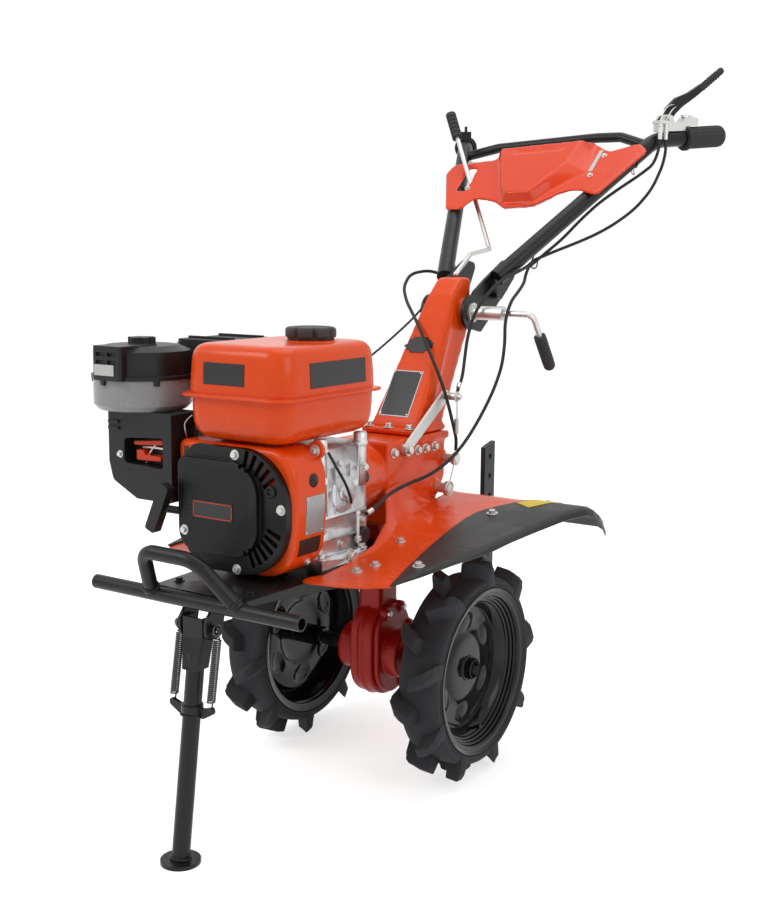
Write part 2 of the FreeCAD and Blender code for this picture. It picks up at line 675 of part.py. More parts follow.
def clamp_knob():
    """Rubber sleeve on the crank."""
    _, corner, end = crank_line()
    direction = (end - corner).normalize()
    outer = rod(end - direction * 58, end + direction * 8, 11)
    tip = Part.makeSphere(11, end + direction * 8)
    return outer.fuse(tip).cut(rod(end - direction * 70, end + direction * SEAT, CRANK_RADIUS + SEAT))


def on_console(solid):
    """Moves a piece drawn flat, x across, y up the slope, z above the tubes, to its place."""
    slope = math.degrees(math.atan2(BAR_BEND[2] - BAR_START[2], BAR_BEND[1] - BAR_START[1]))
    solid.rotate(vec((0, 0, 0)), vec((1, 0, 0)), slope)
    share = (CONSOLE_Y - BAR_START[1]) / (BAR_BEND[1] - BAR_START[1])
    solid.translate(vec((0, CONSOLE_Y, BAR_START[2] + share * (BAR_BEND[2] - BAR_START[2]))))
    return solid


def console_panel():
    """Moulded panel that lies across both tubes, with a raised middle and a front lip."""
    low = TUBE_RADIUS + SEAT
    face = low + CONSOLE_SHEET
    plate = moulding([(-143, 12, 12), (-107, 12, 10), (-90, 50, 16), (-36, 36, 24), (-9, 14, 16),
                      (54, 22, 30), (96, 60, 40), (124, 74, 30), (178, 52, 12), (234, 199, 18),
                      (206, 226, 14), (150, 200, 16), (96, 240, 20), (-92, 214, 20), (-104, 184, 10),
                      (-196, 174, 16), (-203, 140, 20)], "xy", low, face)
    foot = [(-104, 206), (-38, 60), (-20, 28), (50, 30), (76, 72), (132, 128), (112, 226)]
    crown = [(-86, 195), (-30, 68), (-8, 38), (42, 40), (58, 72), (86, 136), (92, 214)]
    raised = Part.makeLoft([outline(foot, "xy", face - 1), outline(crown, "xy", face + CONSOLE_RISE)],
                           True, True)
    recess = moulding([(-46, 172, 4), (56, 180, 4), (64, 196, 4), (-58, 188, 4)], "xy",
                      face + CONSOLE_RISE - 2, face + CONSOLE_RISE + 9)
    lip_line = [(-44, 44), (-12, 20), (52, 27), (84, 58)]
    lip = prism(sheet(lip_line, -CONSOLE_SHEET), "xy", low - CONSOLE_LIP, face)
    panel = plate.multiFuse([raised, lip]).cut(recess)
    slot = moulding([(-145, 76, 6), (-124, 76, 6), (-133, 156, 6), (-153, 156, 6)], "xy",
                    low - 5, face + 5)
    return on_console(panel.cut(slot)).cut(rod(LEVER_FOOT, along_lever(LEVER_LENGTH), 4.5 + SEAT))


LEVER_FOOT = (-45.0, 460.0, 903.0)
LEVER_SLOT = (-136.0, 531.0, 1048.0)
LEVER_LENGTH = 338.0
KNOB_LENGTH = 66.0


def along_lever(distance):
    """A point on the gear lever's straight line, from its foot."""
    foot = vec(LEVER_FOOT)
    return foot + (vec(LEVER_SLOT) - foot).normalize() * distance


def gear_lever():
    """Straight lever through the console slot."""
    return rod(LEVER_FOOT, along_lever(LEVER_LENGTH), 4.5)


def gear_knob():
    """Ribbed knob on the gear lever."""
    start = LEVER_LENGTH - KNOB_LENGTH + 24
    outer = rod(along_lever(start), along_lever(start + KNOB_LENGTH), 11)
    grooves = []
    for step in range(5):
        near = start + 8 + 11 * step
        ring = rod(along_lever(near), along_lever(near + 4), 15)
        grooves.append(ring.cut(rod(along_lever(near - 1), along_lever(near + 5), 9.5)))
    for groove in grooves:
        outer = outer.cut(groove)
    return outer.cut(rod(along_lever(start - 5), along_lever(LEVER_LENGTH + SEAT), 4.5 + SEAT))


def gear_rod():
    """Bent rod from the lever's foot into the column head."""
    return bent_rod([(0, 250, COLUMN_TOP_Z + 4), (-14, 330, 890), (-43, 458.4, 899.8)], 4.5, 20)


def on_left_bar(solid):
    """Moves a piece drawn along +Y, with its thickness along X, to the clutch lever's pivot."""
    x, y, _ = vec(BAR_END) - vec(BAR_BEND)
    solid.rotate(vec((0, 0, 0)), vec((0, 0, 1)), -math.degrees(math.atan2(x, y)))
    pivot = along_bar_end(CLUTCH_PIVOT) + vec((0, 0, TUBE_RADIUS + CLUTCH_PIVOT_RISE))
    solid.translate(pivot)
    return solid


def clutch_bracket():
    """Cast bracket on the left tube that carries the clutch lever."""
    foot = moulding([(-20, -CLUTCH_PIVOT_RISE - 2, 2), (76, -CLUTCH_PIVOT_RISE + 5, 2), (76, 6, 5),
                     (44, 6, 5), (36, -6, 4), (16, -6, 4), (9, 8, 6), (-9, 8, 6), (-20, -6, 4)],
                    "yz", -11, 11)
    gap = block((-5, 5), (-30, 30), (-10, 20))
    body = foot.cut(gap)
    pin = rod((-14, 0, 0), (14, 0, 0), 4)
    arm = block((5, ADJUSTER_X + 5), (ADJUSTER_Y[0] - 5, -10), (-12, -6))
    adjusters = [rod((ADJUSTER_X, y, -6), (ADJUSTER_X, y, ADJUSTER_END), 4.5) for y in ADJUSTER_Y]
    placed = on_left_bar(body.multiFuse([pin, arm] + adjusters))
    placed = placed.cut(rod(BAR_BEND, BAR_END, TUBE_RADIUS + SEAT))
    return placed.cut(rod(along_bar_end(GRIP_LENGTH + GRIP_COLLAR + SEAT), BAR_END,
                          GRIP_RADIUS + GRIP_FLANGE + SEAT))


def clutch_lever():
    """Long curved hand lever above the left grip, with its knurled end."""
    blade = moulding([(-8, -6, 4), (6, -7, 4), (24, 13, 8), (40, 27, 8), (56, 37, 8), (80, 53, 8),
                      (98, 67, 3), (91, 77, 3), (54, 55, 14), (23, 43, 14), (0, 22, 10)], "yz", -4.5, 4.5)
    eye = rod((-4.5, 0, 0), (4.5, 0, 0), 8)
    tip = rod((0, 88, 66), (0, 140, 105), 6.5)
    hole = rod((-20, 0, 0), (20, 0, 0), 4 + RUNNING)
    return on_left_bar(blade.multiFuse([eye, tip]).cut(hole))


def throttle_lever():
    """Throttle control clamped to the right tube."""
    base = along_bar_end(GRIP_LENGTH + 60)
    tip = along_bar_end(GRIP_LENGTH + 30)
    clip = rod(base, tip, TUBE_RADIUS + 4)
    box = block((-12, 12), (-16, 16), (0, TUBE_RADIUS + 18))
    arm = block((-3, 3), (-6, 30), (TUBE_RADIUS + 14, TUBE_RADIUS + 30))
    head = box.fuse(arm)
    direction = (vec(BAR_END) - vec(BAR_BEND)).normalize()
    head.rotate(vec((0, 0, 0)), vec((0, 0, 1)), -math.degrees(math.atan2(direction.x, direction.y)))
    head.translate((base + tip) * 0.5)
    bore = rod(base - direction * 40, tip + direction * 40, TUBE_RADIUS + SEAT)
    return mirrored(clip.fuse(head).cut(bore))


# ---- deck and bumper --------------------------------------------------------
def deck_outline(inset, radius):
    """The deck's plan, moved in from its edge."""
    front, wide = DECK_FRONT_HALF - inset, DECK_BACK_HALF - inset
    back = DECK_BACK_HALF_WIDTH - inset
    right = [(front, DECK_FRONT_Y + inset, radius), (wide, DECK_WIDEST_Y, radius),
             (back, DECK_BACK_Y - inset, radius)]
    left = [(-x, y, corner) for x, y, corner in reversed(right)]
    return right + left


def engine_deck():
    """Pressed deck with turned-down sides that deepen to the back, and two rails."""
    low = DECK_TOP - DECK_SKIRT
    tray = moulding(deck_outline(0, 8), "xy", low, DECK_TOP)
    tray = tray.cut(moulding(deck_outline(DECK_THICK, 6), "xy", low - 1, DECK_TOP - DECK_THICK))
    taper = prism([(DECK_FRONT_Y - 5, low - 1), (DECK_WIDEST_Y - 60, low - 1),
                   (DECK_FRONT_Y - 5, DECK_TOP - DECK_THICK - 3)], "yz", -200, 200)
    tray = tray.cut(taper)
    tray = tray.cut(block((-200, 200), (DECK_WIDEST_Y + 60, 0), (low - 1, DECK_TOP - DECK_THICK)))
    tray = tray.cut(block((-60, 60), (DECK_FRONT_Y - 5, DECK_FRONT_Y + 8), (low - 1, DECK_TOP - DECK_THICK)))
    rails = []
    for side in (-1, 1):
        near, far = sorted((side * (LEG_HALF_WIDTH + SEAT), side * (LEG_HALF_WIDTH + SEAT + 6)))
        rails.append(block((near, far), (RAIL_FRONT, LEG_BACK), (low - 2, DECK_TOP - DECK_THICK + 1)))
    return tray.multiFuse(rails)


def bumper():
    """Cross bar with open ends and the arched guard hoop."""
    half = BUMPER_LENGTH / 2
    bar = rod((-half, BUMPER_Y, BUMPER_Z), (half, BUMPER_Y, BUMPER_Z), BUMPER_RADIUS)
    bar = bar.cut(rod((-half, BUMPER_Y, BUMPER_Z), (-half + 80, BUMPER_Y, BUMPER_Z), BUMPER_BORE))
    bar = bar.cut(rod((half, BUMPER_Y, BUMPER_Z), (half - 80, BUMPER_Y, BUMPER_Z), BUMPER_BORE))
    hoop = bent_rod([(HOOP_FEET[0], BUMPER_Y, BUMPER_Z), HOOP_TOP[0], HOOP_TOP[1],
                     (HOOP_FEET[1], BUMPER_Y, BUMPER_Z)], BUMPER_RADIUS, HOOP_BENDS)
    return bar.fuse(hoop)


def stand_bracket():
    """Two ears under the deck, their plate and the pin of the folding stand."""
    top = DECK_TOP - DECK_THICK - SEAT
    low, high = STAND_EAR_X
    ears = []
    for side in (-1, 1):
        near, far = sorted((side * low, side * high))
        ears.append(moulding([(STAND_PIVOT_Y - 14, 334, 12), (STAND_PIVOT_Y + 20, 334, 14),
                              (STAND_PIVOT_Y + 34, top, 2), (STAND_PIVOT_Y + 14, top, 2),
                              (STAND_PIVOT_Y - 14, STAND_PIVOT_Z + 13, 6)], "yz", near, far))
    plate = block((-high - 6, high + 6), (STAND_PIVOT_Y + 14, STAND_PIVOT_Y + 60), (top - 4, top))
    pin = rod((-SPRING_X - 6, STAND_PIVOT_Y, STAND_PIVOT_Z), (SPRING_X + 6, STAND_PIVOT_Y, STAND_PIVOT_Z),
              STAND_PIN_RADIUS)
    return plate.multiFuse(ears + [pin])


def stand_axis(z):
    """The y of the leg's axis at a height."""
    share = (STAND_PIVOT_Z - z) / STAND_PIVOT_Z
    return STAND_PIVOT_Y + share * (FOOT_Y - STAND_PIVOT_Y)


def stand_leg():
    """Folding leg: folded head, tube, collar with spring ears and foot disc."""
    y = STAND_PIVOT_Y
    half = STAND_HEAD_HALF
    head = Part.makeLoft([outline([(-13.5, stand_axis(288) - 14), (13.5, stand_axis(288) - 14),
                                   (13.5, y + 6), (-13.5, y + 6)], "xy", 288),
                          outline([(-half, y - 13), (half, y - 13), (half, y + 12), (-half, y + 12)],
                                  "xy", 336)], True, True)
    box = block((-half, half), (y - 13, y + 12), (336, STAND_PIVOT_Z + 16))
    hollow = block((-half + 4, half - 4), (y - 9, y + 14), (318, STAND_PIVOT_Z + 20))
    head = head.fuse(box).cut(hollow)
    barrel = rod((-half, y, STAND_PIVOT_Z), (half, y, STAND_PIVOT_Z), 10.5)
    tube = rod((0, stand_axis(310), 310), (0, FOOT_Y, GROUND_Z + 4), STAND_TUBE_RADIUS)
    foot = rod((0, FOOT_Y, GROUND_Z), (0, FOOT_Y, GROUND_Z + 6), FOOT_RADIUS)
    collar_z = SPRING_HOOKS_Z[1] - 10
    at = stand_axis(collar_z)
    wing = moulding([(-24, collar_z - 12, 6), (24, collar_z - 12, 6), (SPRING_X + 7, collar_z - 1, 5),
                     (SPRING_X + 5, collar_z + 9, 4), (22, collar_z + 3, 8), (-22, collar_z + 3, 8),
                     (-SPRING_X - 5, collar_z + 9, 4), (-SPRING_X - 7, collar_z - 1, 5)],
                    "xz", at - 3, at + 3)
    collar = rod((0, at, collar_z - 10), (0, at, collar_z + 6), STAND_TUBE_RADIUS + 3)
    leg = head.multiFuse([barrel, tube, foot, wing, collar])
    bore = rod((-40, y, STAND_PIVOT_Z), (40, y, STAND_PIVOT_Z), STAND_PIN_RADIUS + RUNNING)
    return leg.cut(bore)


def stand_spring(side):
    """Return spring between the pivot pin and the collar, as the closed shape of its coil."""
    top, bottom = SPRING_HOOKS_Z
    coil = rod((side * SPRING_X, STAND_PIVOT_Y - 1, top - 8),
               (side * SPRING_X, stand_axis(bottom), bottom + 4), SPRING_RADIUS)
    loop = rod((side * (SPRING_X - 1.5), STAND_PIVOT_Y, top), (side * (SPRING_X + 1.5), STAND_PIVOT_Y, top), 10)
    tail = rod((side * SPRING_X, stand_axis(bottom), bottom + 5),
               (side * SPRING_X, stand_axis(bottom), bottom), 2)
    return loop.multiFuse([coil, tail]).cut(rod((side * 20, STAND_PIVOT_Y, top),
                                               (side * 60, STAND_PIVOT_Y, top),
                                               STAND_PIN_RADIUS + SEAT))


# ---- engine -----------------------------------------------------------------
def tank_section(inset, radius, z):
    """A level section of the tank, in from its flange's edge."""
    centre = (sum(TANK_X) / 2, sum(TANK_Y) / 2)
    width = TANK_X[1] - TANK_X[0] - 2 * inset
    depth = TANK_Y[1] - TANK_Y[0] - 2 * inset
    return round_rectangle(centre, width, depth, radius, z)


def tank_bowl(grown):
    """The tank's lower shell, or the room that it takes."""
    levels = ((30, 20, 0), (13, 26, 6), (4, 26, 22), (0, 26, TANK_SEAM_Z - TANK_BOTTOM))
    return Part.makeLoft([tank_section(TANK_BOWL_LIP + inset - grown, radius, TANK_BOTTOM + rise - grown)
                          for inset, radius, rise in levels], True, True)


def crankcase():
    """Cast engine block with its ribs, its foot and the two tank posts."""
    front, back = CRANKCASE_Y
    foot = block((-CRANKCASE_HALF, CRANKCASE_HALF), (front, back - 12), (ENGINE_BASE, ENGINE_BASE + 16))
    body = moulding([(-84, ENGINE_BASE + 10, 8), (84, ENGINE_BASE + 10, 8), (88, 470, 20),
                     (84, 560, 30), (60, CRANKCASE_TOP, 20), (-84, CRANKCASE_TOP, 10)],
                    "xz", front, back)
    ribs = [block((0, CRANKCASE_HALF - 4), (front + 4, back - 8), (z, z + 4)) for z in (452, 486)]
    posts = []
    for y in POST_Y:
        post = rod((82, y, CRANKCASE_TOP - 70), (82, y, TANK_BOTTOM + 30), 10)
        posts.append(post.cut(tank_bowl(SEAT)))
        posts.append(block((50, 82), (y - 10, y + 10), (CRANKCASE_TOP - 60, CRANKCASE_TOP - 6)))
    feet = [block((x - 16, x + 16), (y - 16, y + 16), (DECK_TOP + SEAT, ENGINE_BASE + 1))
            for x in (-76, 76) for y in (front + 24, back - 34)]
    return body.multiFuse([foot] + ribs + posts + feet)


def leaning(solid):
    """Tilts a piece of the cylinder about the crankshaft."""
    solid.rotate(vec((0, 0, CRANK_HEIGHT)), vec((0, 1, 0)), CYLINDER_TILT)
    return solid


def cylinder_block():
    """Finned barrel that leans over to the machine's right."""
    low, high = CRANK_HEIGHT - 46, CRANK_HEIGHT + 46
    barrel = block((-200, -70), (-306, -196), (low + 8, high - 8))
    fins = [block((x, x + 5), (-316, -186), (low, high)) for x in range(-194, -84, 11)]
    head = block((-206, -190), (-314, -188), (low, high))
    solid = leaning(barrel.multiFuse(fins + [head]))
    return solid.cut(block((-84 - SEAT, 200), (-400, -100), (300, 700))).cut(
        block((-220, -80), (-400, CRANKCASE_Y[0]), (300, 700)))


def fan_shroud():
    """Pressed cowl around the flywheel, with the lug of its upper bolt."""
    low, high = CRANKCASE_Y[0] - SEAT, SHROUD_FRONT
    left, right = SHROUD_X
    bottom, top = SHROUD_Z
    shape = moulding([(left, bottom + 20, 50), (-60, bottom, 50), (right - 10, bottom - 2, 60),
                      (right, CRANK_HEIGHT, 100), (right - 4, top - 12, 48), (60, top, 50),
                      (left, top, 12)], "xz", high, low)
    front = [edge for edge in shape.Edges if edge.BoundBox.YMax < high + 0.01]
    shape = shape.makeFillet(10, front)
    lug = rod((right - 16, low - 8, top - 8), (right - 16, low, top - 8), 14)
    return shape.fuse(lug)


def recoil_starter():
    """Black recoil cover: a rounded disc with air slots and a raised block."""
    back = SHROUD_FRONT - SEAT
    left = SHROUD_X[0] + 20
    right = SHROUD_X[1] - 6
    disc = moulding([(left, 412, 60), (right, 412, 86), (right, 604, 86), (left + 26, 604, 14),
                     (left, 580, 14)], "xz", RECOIL_FRONT, back)
    dome = moulding([(left + 2, 438, 34), (50, 438, 50), (50, 584, 50), (left + 2, 584, 14)],
                    "xz", RECOIL_FRONT - RECOIL_DOME, RECOIL_FRONT + 1)
    cover = disc.fuse(dome)
    for angle in RECOIL_SLOTS:
        slot = moulding([(66, -3, 2), (94, -4, 2), (94, 4, 2), (66, 3, 2)], "xz",
                        RECOIL_FRONT - 20, back + 1)
        slot.rotate(vec((0, 0, 0)), vec((0, 1, 0)), -angle)
        slot.translate(vec((0, 0, CRANK_HEIGHT - 4)))
        cover = cover.cut(slot)
    return cover


def recoil_handle():
    """Pull handle of the starter and its stem."""
    top, bottom = vec(HANDLE_TOP), vec(HANDLE_BOTTOM)
    run = bottom - top
    grip_bar = moulding([(-10, 0, 4), (10, 0, 4), (10, run.Length, 4), (-10, run.Length, 4)], "xz", -8, 8)
    grip_bar.rotate(vec((0, 0, 0)), vec((0, 1, 0)), math.degrees(math.atan2(run.x, run.z)))
    grip_bar.translate(top)
    middle = top + run * 0.5
    end = (SHROUD_X[0] + 20, RECOIL_FRONT - 5, middle.z - 6)
    cover = recoil_starter()
    cover.translate(vec((-SEAT, 0, 0)))
    return grip_bar.fuse(rod(middle, end, HANDLE_STEM_RADIUS).cut(cover))


def fuel_tank():
    """Two pressed shells joined at a seam flange."""
    flange = Part.Face(tank_section(0, 22, TANK_SEAM_Z - TANK_FLANGE / 2))
    flange = flange.extrude(vec((0, 0, TANK_FLANGE)))
    levels = ((0, 26, TANK_SEAM_Z), (4, 26, TANK_TOP - 14), (9, 24, TANK_TOP - 5), (24, 20, TANK_TOP))
    upper = Part.makeLoft([tank_section(TANK_LIP + inset, radius, z) for inset, radius, z in levels],
                          True, True)
    return flange.multiFuse([upper, tank_bowl(0)])


def fuel_cap():
    """Scalloped filler cap."""
    low = TANK_TOP + SEAT
    cap = rod((CAP_X, CAP_Y, low), (CAP_X, CAP_Y, low + CAP_HEIGHT), CAP_RADIUS)
    for step in range(CAP_SCALLOPS):
        angle = math.radians(360 / CAP_SCALLOPS * step)
        x = CAP_X + (CAP_RADIUS + 5) * math.cos(angle)
        y = CAP_Y + (CAP_RADIUS + 5) * math.sin(angle)
        cap = cap.cut(rod((x, y, low + 6), (x, y, low + CAP_HEIGHT + 1), 9))
    return cap


def air_cleaner_bowl():
    """Round oil-bath bowl of the air cleaner."""
    low, seam, _ = CLEANER_Z
    bowl = rod((CLEANER_X, CLEANER_Y, low + 8), (CLEANER_X, CLEANER_Y, seam), CLEANER_RADIUS - 1)
    return bowl.fuse(cone((CLEANER_X, CLEANER_Y, low), (CLEANER_X, CLEANER_Y, low + 8),
                          CLEANER_RADIUS - 8, CLEANER_RADIUS - 1))


def air_cleaner_lid():
    """Lid of the air cleaner with its boxed inlet and wing nut."""
    _, seam, shoulder = CLEANER_Z
    low = seam + SEAT
    brim = rod((CLEANER_X, CLEANER_Y, low), (CLEANER_X, CLEANER_Y, low + 6), CLEANER_RADIUS + 2)
    drum = rod((CLEANER_X, CLEANER_Y, low), (CLEANER_X, CLEANER_Y, shoulder - 4), CLEANER_RADIUS - 2)
    crown = cone((CLEANER_X, CLEANER_Y, shoulder - 4), (CLEANER_X, CLEANER_Y, shoulder + 4),
                 CLEANER_RADIUS - 2, CLEANER_RADIUS - 22)
    left, front = CLEANER_X - 25, CLEANER_Y - CLEANER_RADIUS - 5
    box = moulding([(left, front, 4), (left + 60, front, 4), (left + 60, CLEANER_Y, 4),
                    (left, CLEANER_Y, 4)], "xy", low, shoulder + 6)
    slots = []
    for column in (8, 32):
        for level in (shoulder - 10, shoulder - 22):
            slots.append(block((left + column, left + column + 20), (front - 1, front + 4), (level, level + 6)))
    nut = rod((CLEANER_X, CLEANER_Y, shoulder), (CLEANER_X, CLEANER_Y, shoulder + 16), 22)
    for step in range(6):
        angle = math.radians(60 * step)
        x = CLEANER_X + 26 * math.cos(angle)
        y = CLEANER_Y + 26 * math.sin(angle)
        nut = nut.cut(rod((x, y, shoulder + 5), (x, y, shoulder + 20), 8))
    lid = brim.multiFuse([drum, crown, box, nut])
    return lid.cut(Part.makeCompound(slots))


def carburettor_cover():
    """Moulded cover over the carburettor, open where its levers are."""
    left, right = CARB_X
    front, back = CARB_Y
    top = CLEANER_Z[0] - SEAT
    cover = moulding([(left, 560, 12), (left + 8, 530, 14), (left + 60, 504, 20), (right, 504, 6),
                      (right, top, 4), (left, top, 4)], "xz", front, back)
    window = moulding([(left + 34, 560, 8), (right - 18, 556, 8), (right - 18, 606, 4),
                       (left + 34, 600, 10)], "xz", front - 1, front + CARB_WINDOW)
    cover = cover.cut(window)
    ribs = [block((left + 2, left + 24), (front - 3, front + 2), (z, z + 5)) for z in (612, 622)]
    return cover.multiFuse(ribs)


def engine_levers():
    """Choke and fuel levers behind the window of the carburettor's cover."""
    left, right = CARB_X
    wall = CARB_Y[0] + CARB_WINDOW - SEAT
    choke = moulding([(left + 44, 588, 2), (right - 30, 592, 2), (right - 30, 600, 2),
                      (left + 44, 594, 2)], "xz", wall - 14, wall)
    fuel = moulding([(left + 50, 564, 2), (right - 34, 566, 2), (right - 34, 573, 2), (left + 68, 574, 2),
                     (left + 64, 581, 2), (left + 50, 581, 2)], "xz", wall - 14, wall)
    return Part.makeCompound([choke, fuel])


def muffler():
    """Silencer box beside the tank, with its pipe to the cylinder head."""
    (left, right), (front, back), (low, high) = MUFFLER_X, MUFFLER_Y, MUFFLER_Z
    box = softened(block((left, right), (front, back), (low, high)), 14, runs_along("z"))
    ribs = [block((left + 8, right - 8), (y, y + 6), (low + 2, high + 4)) for y in (front + 24, back - 30)]
    pipe = rod((-150, -222, 560), (-150, -222, low + 2), 15)
    room = leaning(block((-206 - SEAT, -60), (-330, -180), (CRANK_HEIGHT - 60, CRANK_HEIGHT + 46 + SEAT)))
    return box.multiFuse(ribs + [pipe.cut(room)])


# ---- fenders ----------------------------------------------------------------
def fender_z(y):
    """Height of the fender's top along the machine."""
    line = FENDER_LINE
    for (near, low), (far, high) in zip(line, line[1:]):
        if near <= y <= far:
            return low + (high - low) * (y - near) / (far - near)
    return line[-1][1]


def fender_left():
    """Orange inner fender that sweeps up to the gearbox's side."""
    wall = BOX_HALF_WIDTH + SEAT + FENDER_SHEET
    sections = []
    for y, inner, outer, rise in ((-345, 92, 108, 0), (-336, 88, 160, 0), (-322, 88, 192, 0),
                                  (-300, 100, 222, 0), (-240, 104, 209, 1), (-171, 104, 196, 8),
                                  (-110, 88, 190, 26), (-66, wall, 187, 62), (-30, wall, 185, 66),
                                  (17, wall, 181, 40), (50, wall, 180, 16), (75, wall, 186, 3),
                                  (100, wall, 200, 1), (145, wall, 232, 1), (165, wall, 236, 1),
                                  (190, wall, 238, 1), (212, wall, 240, 1), (228, wall, 240, 1)):
        z = fender_z(y)
        cove = 8 + 0.9 * rise
        line = [(inner, z + rise), (inner + 0.09 * cove, z + 0.56 * rise),
                (inner + 0.38 * cove, z + 0.2 * rise), (inner + cove, z), (outer, z + 0.01)]
        sections.append(outline(sheet(line, FENDER_SHEET), "xz", y))
    return Part.makeLoft(sections, True, True)


def fender_edge_left():
    """Black outer fender edge, lapped over the inner one and turned down at its rim."""
    lift = SEAT + FENDER_SHEET
    sections = []
    for y, inner, outer, drop in ((-300, 221, 225, 0), (-240, 206, 238, 5), (-171, 191, 253, 6),
                                  (-110, 180, 276, 6), (-43, 170, 286, 6), (17, 165, 298, 7),
                                  (50, 167, 306, 8), (75, 176, 313, 8), (100, 190, 320, 9),
                                  (145, 214, 334, 13), (165, 218, 338, 18), (190, 220, 340, 26),
                                  (212, 221, 338, 24), (232, 222, 330, 16)):
        z = fender_z(y) + lift
        turn = min(0.3 * (outer - inner), 16)
        line = [(inner, z), (outer - turn, z + 0.01), (outer - 0.35 * turn, z - 0.3 * drop), (outer, z - drop)]
        sections.append(outline(sheet(line, FENDER_SHEET), "xz", y))
    return Part.makeLoft(sections, True, True)


def shift_arm():
    """Selector arm on the gearbox's left side."""
    x = BOX_HALF_WIDTH + SEAT
    low = vec((x + 2, *ARM_PIVOT))
    high = vec((x + 2, *ARM_END))
    run = (high - low).normalize()
    side = FreeCAD.Vector(0, -run.z, run.y)
    corners = [low + side * 9, low - side * 9, high - side * 11, high + side * 11]
    blade = Part.Face(Part.makePolygon(corners + corners[:1])).extrude(vec((5, 0, 0)))
    pivot = rod((x, *ARM_PIVOT), (x + 10, *ARM_PIVOT), 11)
    crown = rod((x + 2, *ARM_END), (x + 7, *ARM_END), 11)
    pin = rod((x + 2, *ARM_END), (x + 34, *ARM_END), PIN_RADIUS)
    return blade.multiFuse([pivot, crown, pin])


def control_shafts():
    """Two control shafts that stand out of the gearbox's left side."""
    x = BOX_HALF_WIDTH + SHAFT_BOSS + SEAT
    shafts = []
    for y, z, radius in CONTROL_SHAFTS:
        shaft = rod((x, y, z), (x + 28, y, z), radius)
        shafts.append(shaft.fuse(rod((x + 20, y, z), (x + 26, y, z), radius + 4)))
    return Part.makeCompound(shafts)


def adjuster_point(index):
    """Where a cable leaves its adjuster under the clutch lever's bracket."""
    x, y, _ = vec(BAR_END) - vec(BAR_BEND)
    turn = math.atan2(x, y)
    across, along = ADJUSTER_X, ADJUSTER_Y[index]
    pivot = along_bar_end(CLUTCH_PIVOT) + vec((0, 0, TUBE_RADIUS + CLUTCH_PIVOT_RISE))
    return pivot + vec((across * math.cos(turn) + along * math.sin(turn),
                        along * math.cos(turn) - across * math.sin(turn), ADJUSTER_END - SEAT))


def clutch_cable_upper():
    """Clutch cable from its adjuster to the ring under the left tube, in a wide bow."""
    start = adjuster_point(1)
    return cord("clutch_cable_upper", [start, start + vec((1, 1, -24)), (243, 648, 1068), (233, 624, 1022),
                                       (212, 590, 981), (181, 555, 949), (157, 522, 929),
                                       (133, 488, 913), (106, 446, 896), CLUTCH_RING], CABLE_RADIUS)


def clutch_cable_lower():
    """Clutch cable from the ring, past the clamp plate, to the selector arm's pin."""
    end = (84.0, ARM_END[0] + 3, ARM_END[1] + PIN_RADIUS + 1.4)
    return cord("clutch_cable_lower", [(85, 402, 878), (92, 364, 868), (95, 318, 858), (90, 272, 846),
                                       (82, 232, 822), (68, 207, 786), (60, 196, 742), (63, 182, 704),
                                       (74, 156, 672), end], CABLE_RADIUS)


def engine_cable_upper():
    """Engine cable from its adjuster, close under the left tube, to its ring."""
    start = adjuster_point(0)
    return cord("engine_cable_upper", [start, start + vec((-2, -1, -24)), (229, 634, 1070),
                                       (209, 612, 1048), (182, 580, 1022), (154, 544, 992),
                                       (132, 508, 958), (112, 472, 921), (92, 436, 892), ENGINE_RING],
                CABLE_RADIUS)


def engine_cable_lower():
    """Engine cable that hangs past the crank and sweeps forward to the engine."""
    return cord("engine_cable_lower", [(76, 399, 864), (88, 366, 852), (108, 322, 838), (120, 278, 824),
                                       (125, 238, 806), (126, 216, 772), (129, 212, 731), (127, 206, 690),
                                       (121, 188, 648), (112, 160, 604), (106, 120, 564), (100, 76, 534),
                                       (88, 26, 512), (76, -30, 503), (78, -88, 496), (91, -142, 486),
                                       (92, -176, 478)], CABLE_RADIUS)


def reverse_cable():
    """Cable from the right tube, across the column's front, to the upper control shaft."""
    y, z, radius = CONTROL_SHAFTS[0]
    end = (BOX_HALF_WIDTH + SHAFT_BOSS + 23, y + 1, z + radius + 4 + CABLE_RADIUS)
    return cord("reverse_cable", [(-84, 346, 850), (-108, 330, 858), (-130, 298, 852), (-123, 262, 827),
                                  (-92, 224, 802), (-56, 186, 785), (-24, 153, 769), (5, 128, 746),
                                  (33, 111, 714), (55, 103, 681), (68, 104, 650), (75, 109, 620),
                                  (81, 113, 591), (85, 119, 563), end], CABLE_RADIUS)


def throttle_cable():
    """Thin cable from the right tube's foot, behind the tank, to the engine."""
    return cord("throttle_cable", [(-74, 296, 824), (-66, 256, 798), (-61, 205, 773), (-60, 150, 748),
                                   (-63, 96, 722), (-68, 44, 698), (-76, -8, 676), (-84, -60, 652),
                                   (-88, -108, 622), (-84, -146, 588)], THIN_CABLE_RADIUS)


